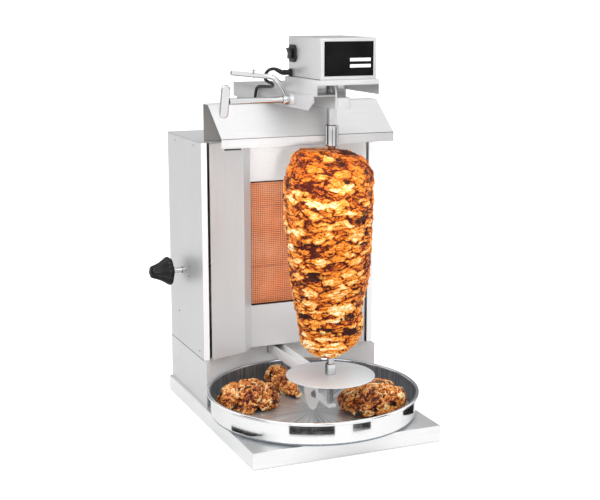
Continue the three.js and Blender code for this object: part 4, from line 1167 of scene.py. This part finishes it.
pile("chicken_left", around(-125, 277, 0.11, [
    (-40, -10, 61, 27, 22, 20, 0.4, 0.1), (-10, -22, 62, 34, 21, 21, -0.2, -0.1), (28, -16, 62, 30, 21, 21, 0.3, 0.12), (46, 8, 57, 19, 23, 16, 0.2, 0.0), (14, 18, 64, 33, 22, 22, -0.3, 0.1),
    (-26, 22, 62, 29, 21, 20, 0.3, -0.1), (-2, 2, 68, 29, 22, 20, 0.1, 0.0), (-50, 12, 55, 15, 18, 14, 0.0, 0.0), (22, -36, 53, 27, 13, 13, 0.1, 0.0), (-22, -37, 52, 24, 13, 12, -0.1, 0.0), (38, 30, 55, 20, 15, 14, 0.6, 0.0),
], 1.13, 1.26), "chicken_left_fine", 1, 30)
pile("chicken_middle", [
    (-13, 384, 67, 30, 25, 27, 0.2, 0.0), (-11, 360, 65, 29, 28, 25, 0.1, 0.05), (-7, 330, 58, 22, 29, 18, 0.05, 0.0), (-3, 304, 50.5, 13, 22, 11, 0.05, 0.0), (0, 291, 48, 10.5, 10, 8, 0.0, 0.0), (-27, 374, 60, 17, 24, 19, -0.3, 0.0), (5, 378, 60, 18, 25, 19, 0.3, 0.0),
], "chicken_middle_fine", 2, 8)
pile("chicken_right", around(126, 147, -0.35, [
    (-42, -12, 61, 29, 23, 20, 0.4, 0.1), (-10, -26, 62, 36, 24, 21, -0.2, -0.1), (32, -18, 63, 32, 25, 22, 0.3, 0.12), (50, 10, 59, 20, 26, 18, 0.2, 0.0), (16, 20, 66, 37, 26, 23, -0.3, 0.1),
    (-28, 24, 63, 31, 25, 21, 0.3, -0.1), (-2, 2, 70, 33, 26, 20, 0.1, 0.0), (-54, 10, 55, 16, 20, 14, 0.0, 0.0), (22, -42, 54, 28, 15, 13, 0.1, 0.0), (-22, -44, 53, 26, 14, 12, -0.1, 0.0), (38, 38, 57, 24, 18, 16, 0.6, 0.0), (0, 44, 56, 30, 14, 15, 0.1, 0.0),
], 1.12, 1.34), "chicken_right_fine", 3, 70)

# ------------------------------------------------------------------ stage and light
me = bpy.data.meshes.new("floor")
me.from_pydata([(-40, -40, 0), (40, -40, 0), (40, 40, 0), (-40, 40, 0)], [], [(0, 1, 2, 3)])
floor = bpy.data.objects.new("floor", me)
scene.collection.objects.link(floor)
fm = Mat("stage_floor", (0.8, 0.8, 0.8), 0.8, 0.0)
fm.b.inputs["Emission Color"].default_value = (1, 1, 1, 1)
lpf = fm.node("ShaderNodeLightPath")
fm.link(fm.math("MULTIPLY", lpf.outputs["Is Camera Ray"], 0.5), fm.b.inputs["Emission Strength"])
me.materials.append(fm.m)

world = bpy.data.worlds.new("studio")
scene.world = world
world.use_nodes = True
wt = world.node_tree
bg = wt.nodes["Background"]
tc = wt.nodes.new("ShaderNodeTexCoord")
sp = wt.nodes.new("ShaderNodeSeparateXYZ")
wt.links.new(tc.outputs["Generated"], sp.inputs[0])
rampn = wt.nodes.new("ShaderNodeValToRGB")
e = rampn.color_ramp.elements
e[0].position, e[0].color = 0.0, (0.86, 0.86, 0.865, 1)
e[1].position, e[1].color = 1.0, (1.0, 1.0, 1.0, 1)
mr = wt.nodes.new("ShaderNodeMapRange")
mr.inputs["From Min"].default_value = -0.1
mr.inputs["From Max"].default_value = 0.7
wt.links.new(sp.outputs[2], mr.inputs["Value"])
wt.links.new(mr.outputs["Result"], rampn.inputs["Fac"])
dotn = wt.nodes.new("ShaderNodeVectorMath")
dotn.operation = "DOT_PRODUCT"
wt.links.new(tc.outputs["Generated"], dotn.inputs[0])
dotn.inputs[1].default_value = (math.sin(math.radians(22.97)), math.cos(math.radians(22.97)), 0.0)
dmr = wt.nodes.new("ShaderNodeMapRange")
dmr.interpolation_type = "SMOOTHSTEP"
dmr.inputs["From Min"].default_value = 0.5
dmr.inputs["From Max"].default_value = 0.85
wt.links.new(dotn.outputs["Value"], dmr.inputs["Value"])
dmx = wt.nodes.new("ShaderNodeMix")
dmx.data_type = "RGBA"
wt.links.new(dmr.outputs["Result"], dmx.inputs[0])
wt.links.new(rampn.outputs["Color"], dmx.inputs[6])
dmx.inputs[7].default_value = (0.2, 0.2, 0.205, 1)
wt.links.new(dmx.outputs[2], bg.inputs["Color"])
bg.inputs["Strength"].default_value = 1.16
lp = wt.nodes.new("ShaderNodeLightPath")
bg2 = wt.nodes.new("ShaderNodeBackground")
bg2.inputs["Color"].default_value = (1, 1, 1, 1)
bg2.inputs["Strength"].default_value = 1.05
mx = wt.nodes.new("ShaderNodeMixShader")
wt.links.new(lp.outputs["Is Camera Ray"], mx.inputs[0])
wt.links.new(bg.outputs[0], mx.inputs[1])
wt.links.new(bg2.outputs[0], mx.inputs[2])
wt.links.new(mx.outputs[0], wt.nodes["World Output"].inputs["Surface"])


def reflection_card(name, px0, px1, z_lo, z_hi, level=0.0015):
    """A dark strip on the floor that only mirrors see: it stands where the pan's outer wall, between two camera columns and two heights, looks to."""
    eye = np.array([-1047.02, -2198.58, 949.27])
    az, el = math.radians(22.97), math.radians(11.63)
    right = np.array([math.cos(az), -math.sin(az), 0.0])
    fwd = np.array([math.sin(az) * math.cos(el), math.cos(az) * math.cos(el), -math.sin(el)])
    R, cy = 232.4, 197.0

    def column(phi, z):
        d = np.array([R * math.cos(phi), cy + R * math.sin(phi), z]) - eye
        return 300 + 600 * (72.505 / 36) * d.dot(right) / d.dot(fwd)

    def solve(px, z):
        lo, hi = math.radians(-165), math.radians(-5)
        for _ in range(50):
            mid = (lo + hi) / 2
            if column(mid, z) < px:
                lo = mid
            else:
                hi = mid
        return (lo + hi) / 2

    grid = []
    for z in (z_lo, z_hi):
        rowp = []
        for px in np.linspace(px0, px1, 7):
            phi = solve(px, z)
            p = np.array([R * math.cos(phi), cy + R * math.sin(phi), z])
            tl = math.radians(1.45)
            n = np.array([math.cos(phi) * math.cos(tl), math.sin(phi) * math.cos(tl), -math.sin(tl)])
            d = (p - eye) / np.linalg.norm(p - eye)
            r = d - 2 * d.dot(n) * n
            t = (z - level * 1000) / -r[2]
            h = p + r * t
            rowp.append(h)
        grid.append(rowp)
    me_ = bpy.data.meshes.new(name)
    vv = [tuple(W(h[0], h[1], level * 1000)) for rowp in grid for h in rowp]
    me_.from_pydata(vv, [], [(i, i + 1, 7 + i + 1, 7 + i) for i in range(6)])
    o = bpy.data.objects.new(name, me_)
    scene.collection.objects.link(o)
    me_.materials.append(M_CARD.m)
    for k in ("visible_camera", "visible_diffuse", "visible_shadow", "visible_transmission", "visible_volume_scatter"):
        setattr(o, k, False)
    return o


M_CARD = Mat("card", (0.004, 0.004, 0.004), 1.0, 0.0)
M_CARD.b.inputs["Specular IOR Level"].default_value = 0.0
def upright_card(name, az0, az1, dist, z0, z1):
    """A dark upright strip that only mirrors see, between two bearings from the spit."""
    me_ = bpy.data.meshes.new(name)
    vv = []
    for z in (z0, z1):
        for a in np.linspace(math.radians(az0), math.radians(az1), 7):
            vv.append(tuple(W(dist * math.cos(a), 102 + dist * math.sin(a), z)))
    me_.from_pydata(vv, [], [(i, i + 1, 7 + i + 1, 7 + i) for i in range(6)])
    o = bpy.data.objects.new(name, me_)
    scene.collection.objects.link(o)
    me_.materials.append(M_CARD.m)
    for k in ("visible_camera", "visible_diffuse", "visible_shadow", "visible_transmission", "visible_volume_scatter"):
        setattr(o, k, False)


upright_card("card_left", -196, -168, 1100, 250, 900)
upright_card("card_right", -48, -24, 1100, 250, 900)
upright_card("card_middle", -106, -96, 1100, 250, 700)
for i, (c0, c1, lo_, hi_) in enumerate(((231, 268, 40, 58), (289, 335, 65, 97), (353, 371, 68, 95), (403, 414, 54, 92))):
    reflection_card(f"card_{i}", c0, c1, lo_, hi_, 0.0015 + 0.0003 * i)


def area(name, loc, target, size, power, size_y=None, glossy=True):
    L = bpy.data.lights.new(name, "AREA")
    L.energy, L.size = power, size
    if size_y:
        L.shape, L.size_y = "RECTANGLE", size_y
    o = bpy.data.objects.new(name, L)
    scene.collection.objects.link(o)
    o.location = loc
    o.rotation_euler = (Vector(target) - Vector(loc)).to_track_quat("-Z", "Y").to_euler()
    o.visible_glossy = glossy
    return o


area("key", (-1.6, -2.4, 2.6), (0, 0, 0.4), 1.2, 30)
area("top", (0.2, -0.2, 3.2), (0, 0, 0.4), 2.2, 26, glossy=False)
low = area("hood_fill", (-0.75, -2.3, 0.62), (-0.02, -0.02, 0.715), 0.3, 0.42, glossy=False)
low.data.spread = math.radians(11)
area("fill", (2.4, -1.6, 1.4), (0, 0, 0.4), 1.6, 8)

scene.view_settings.view_transform = "Standard"
scene.view_settings.look = "None"

import json
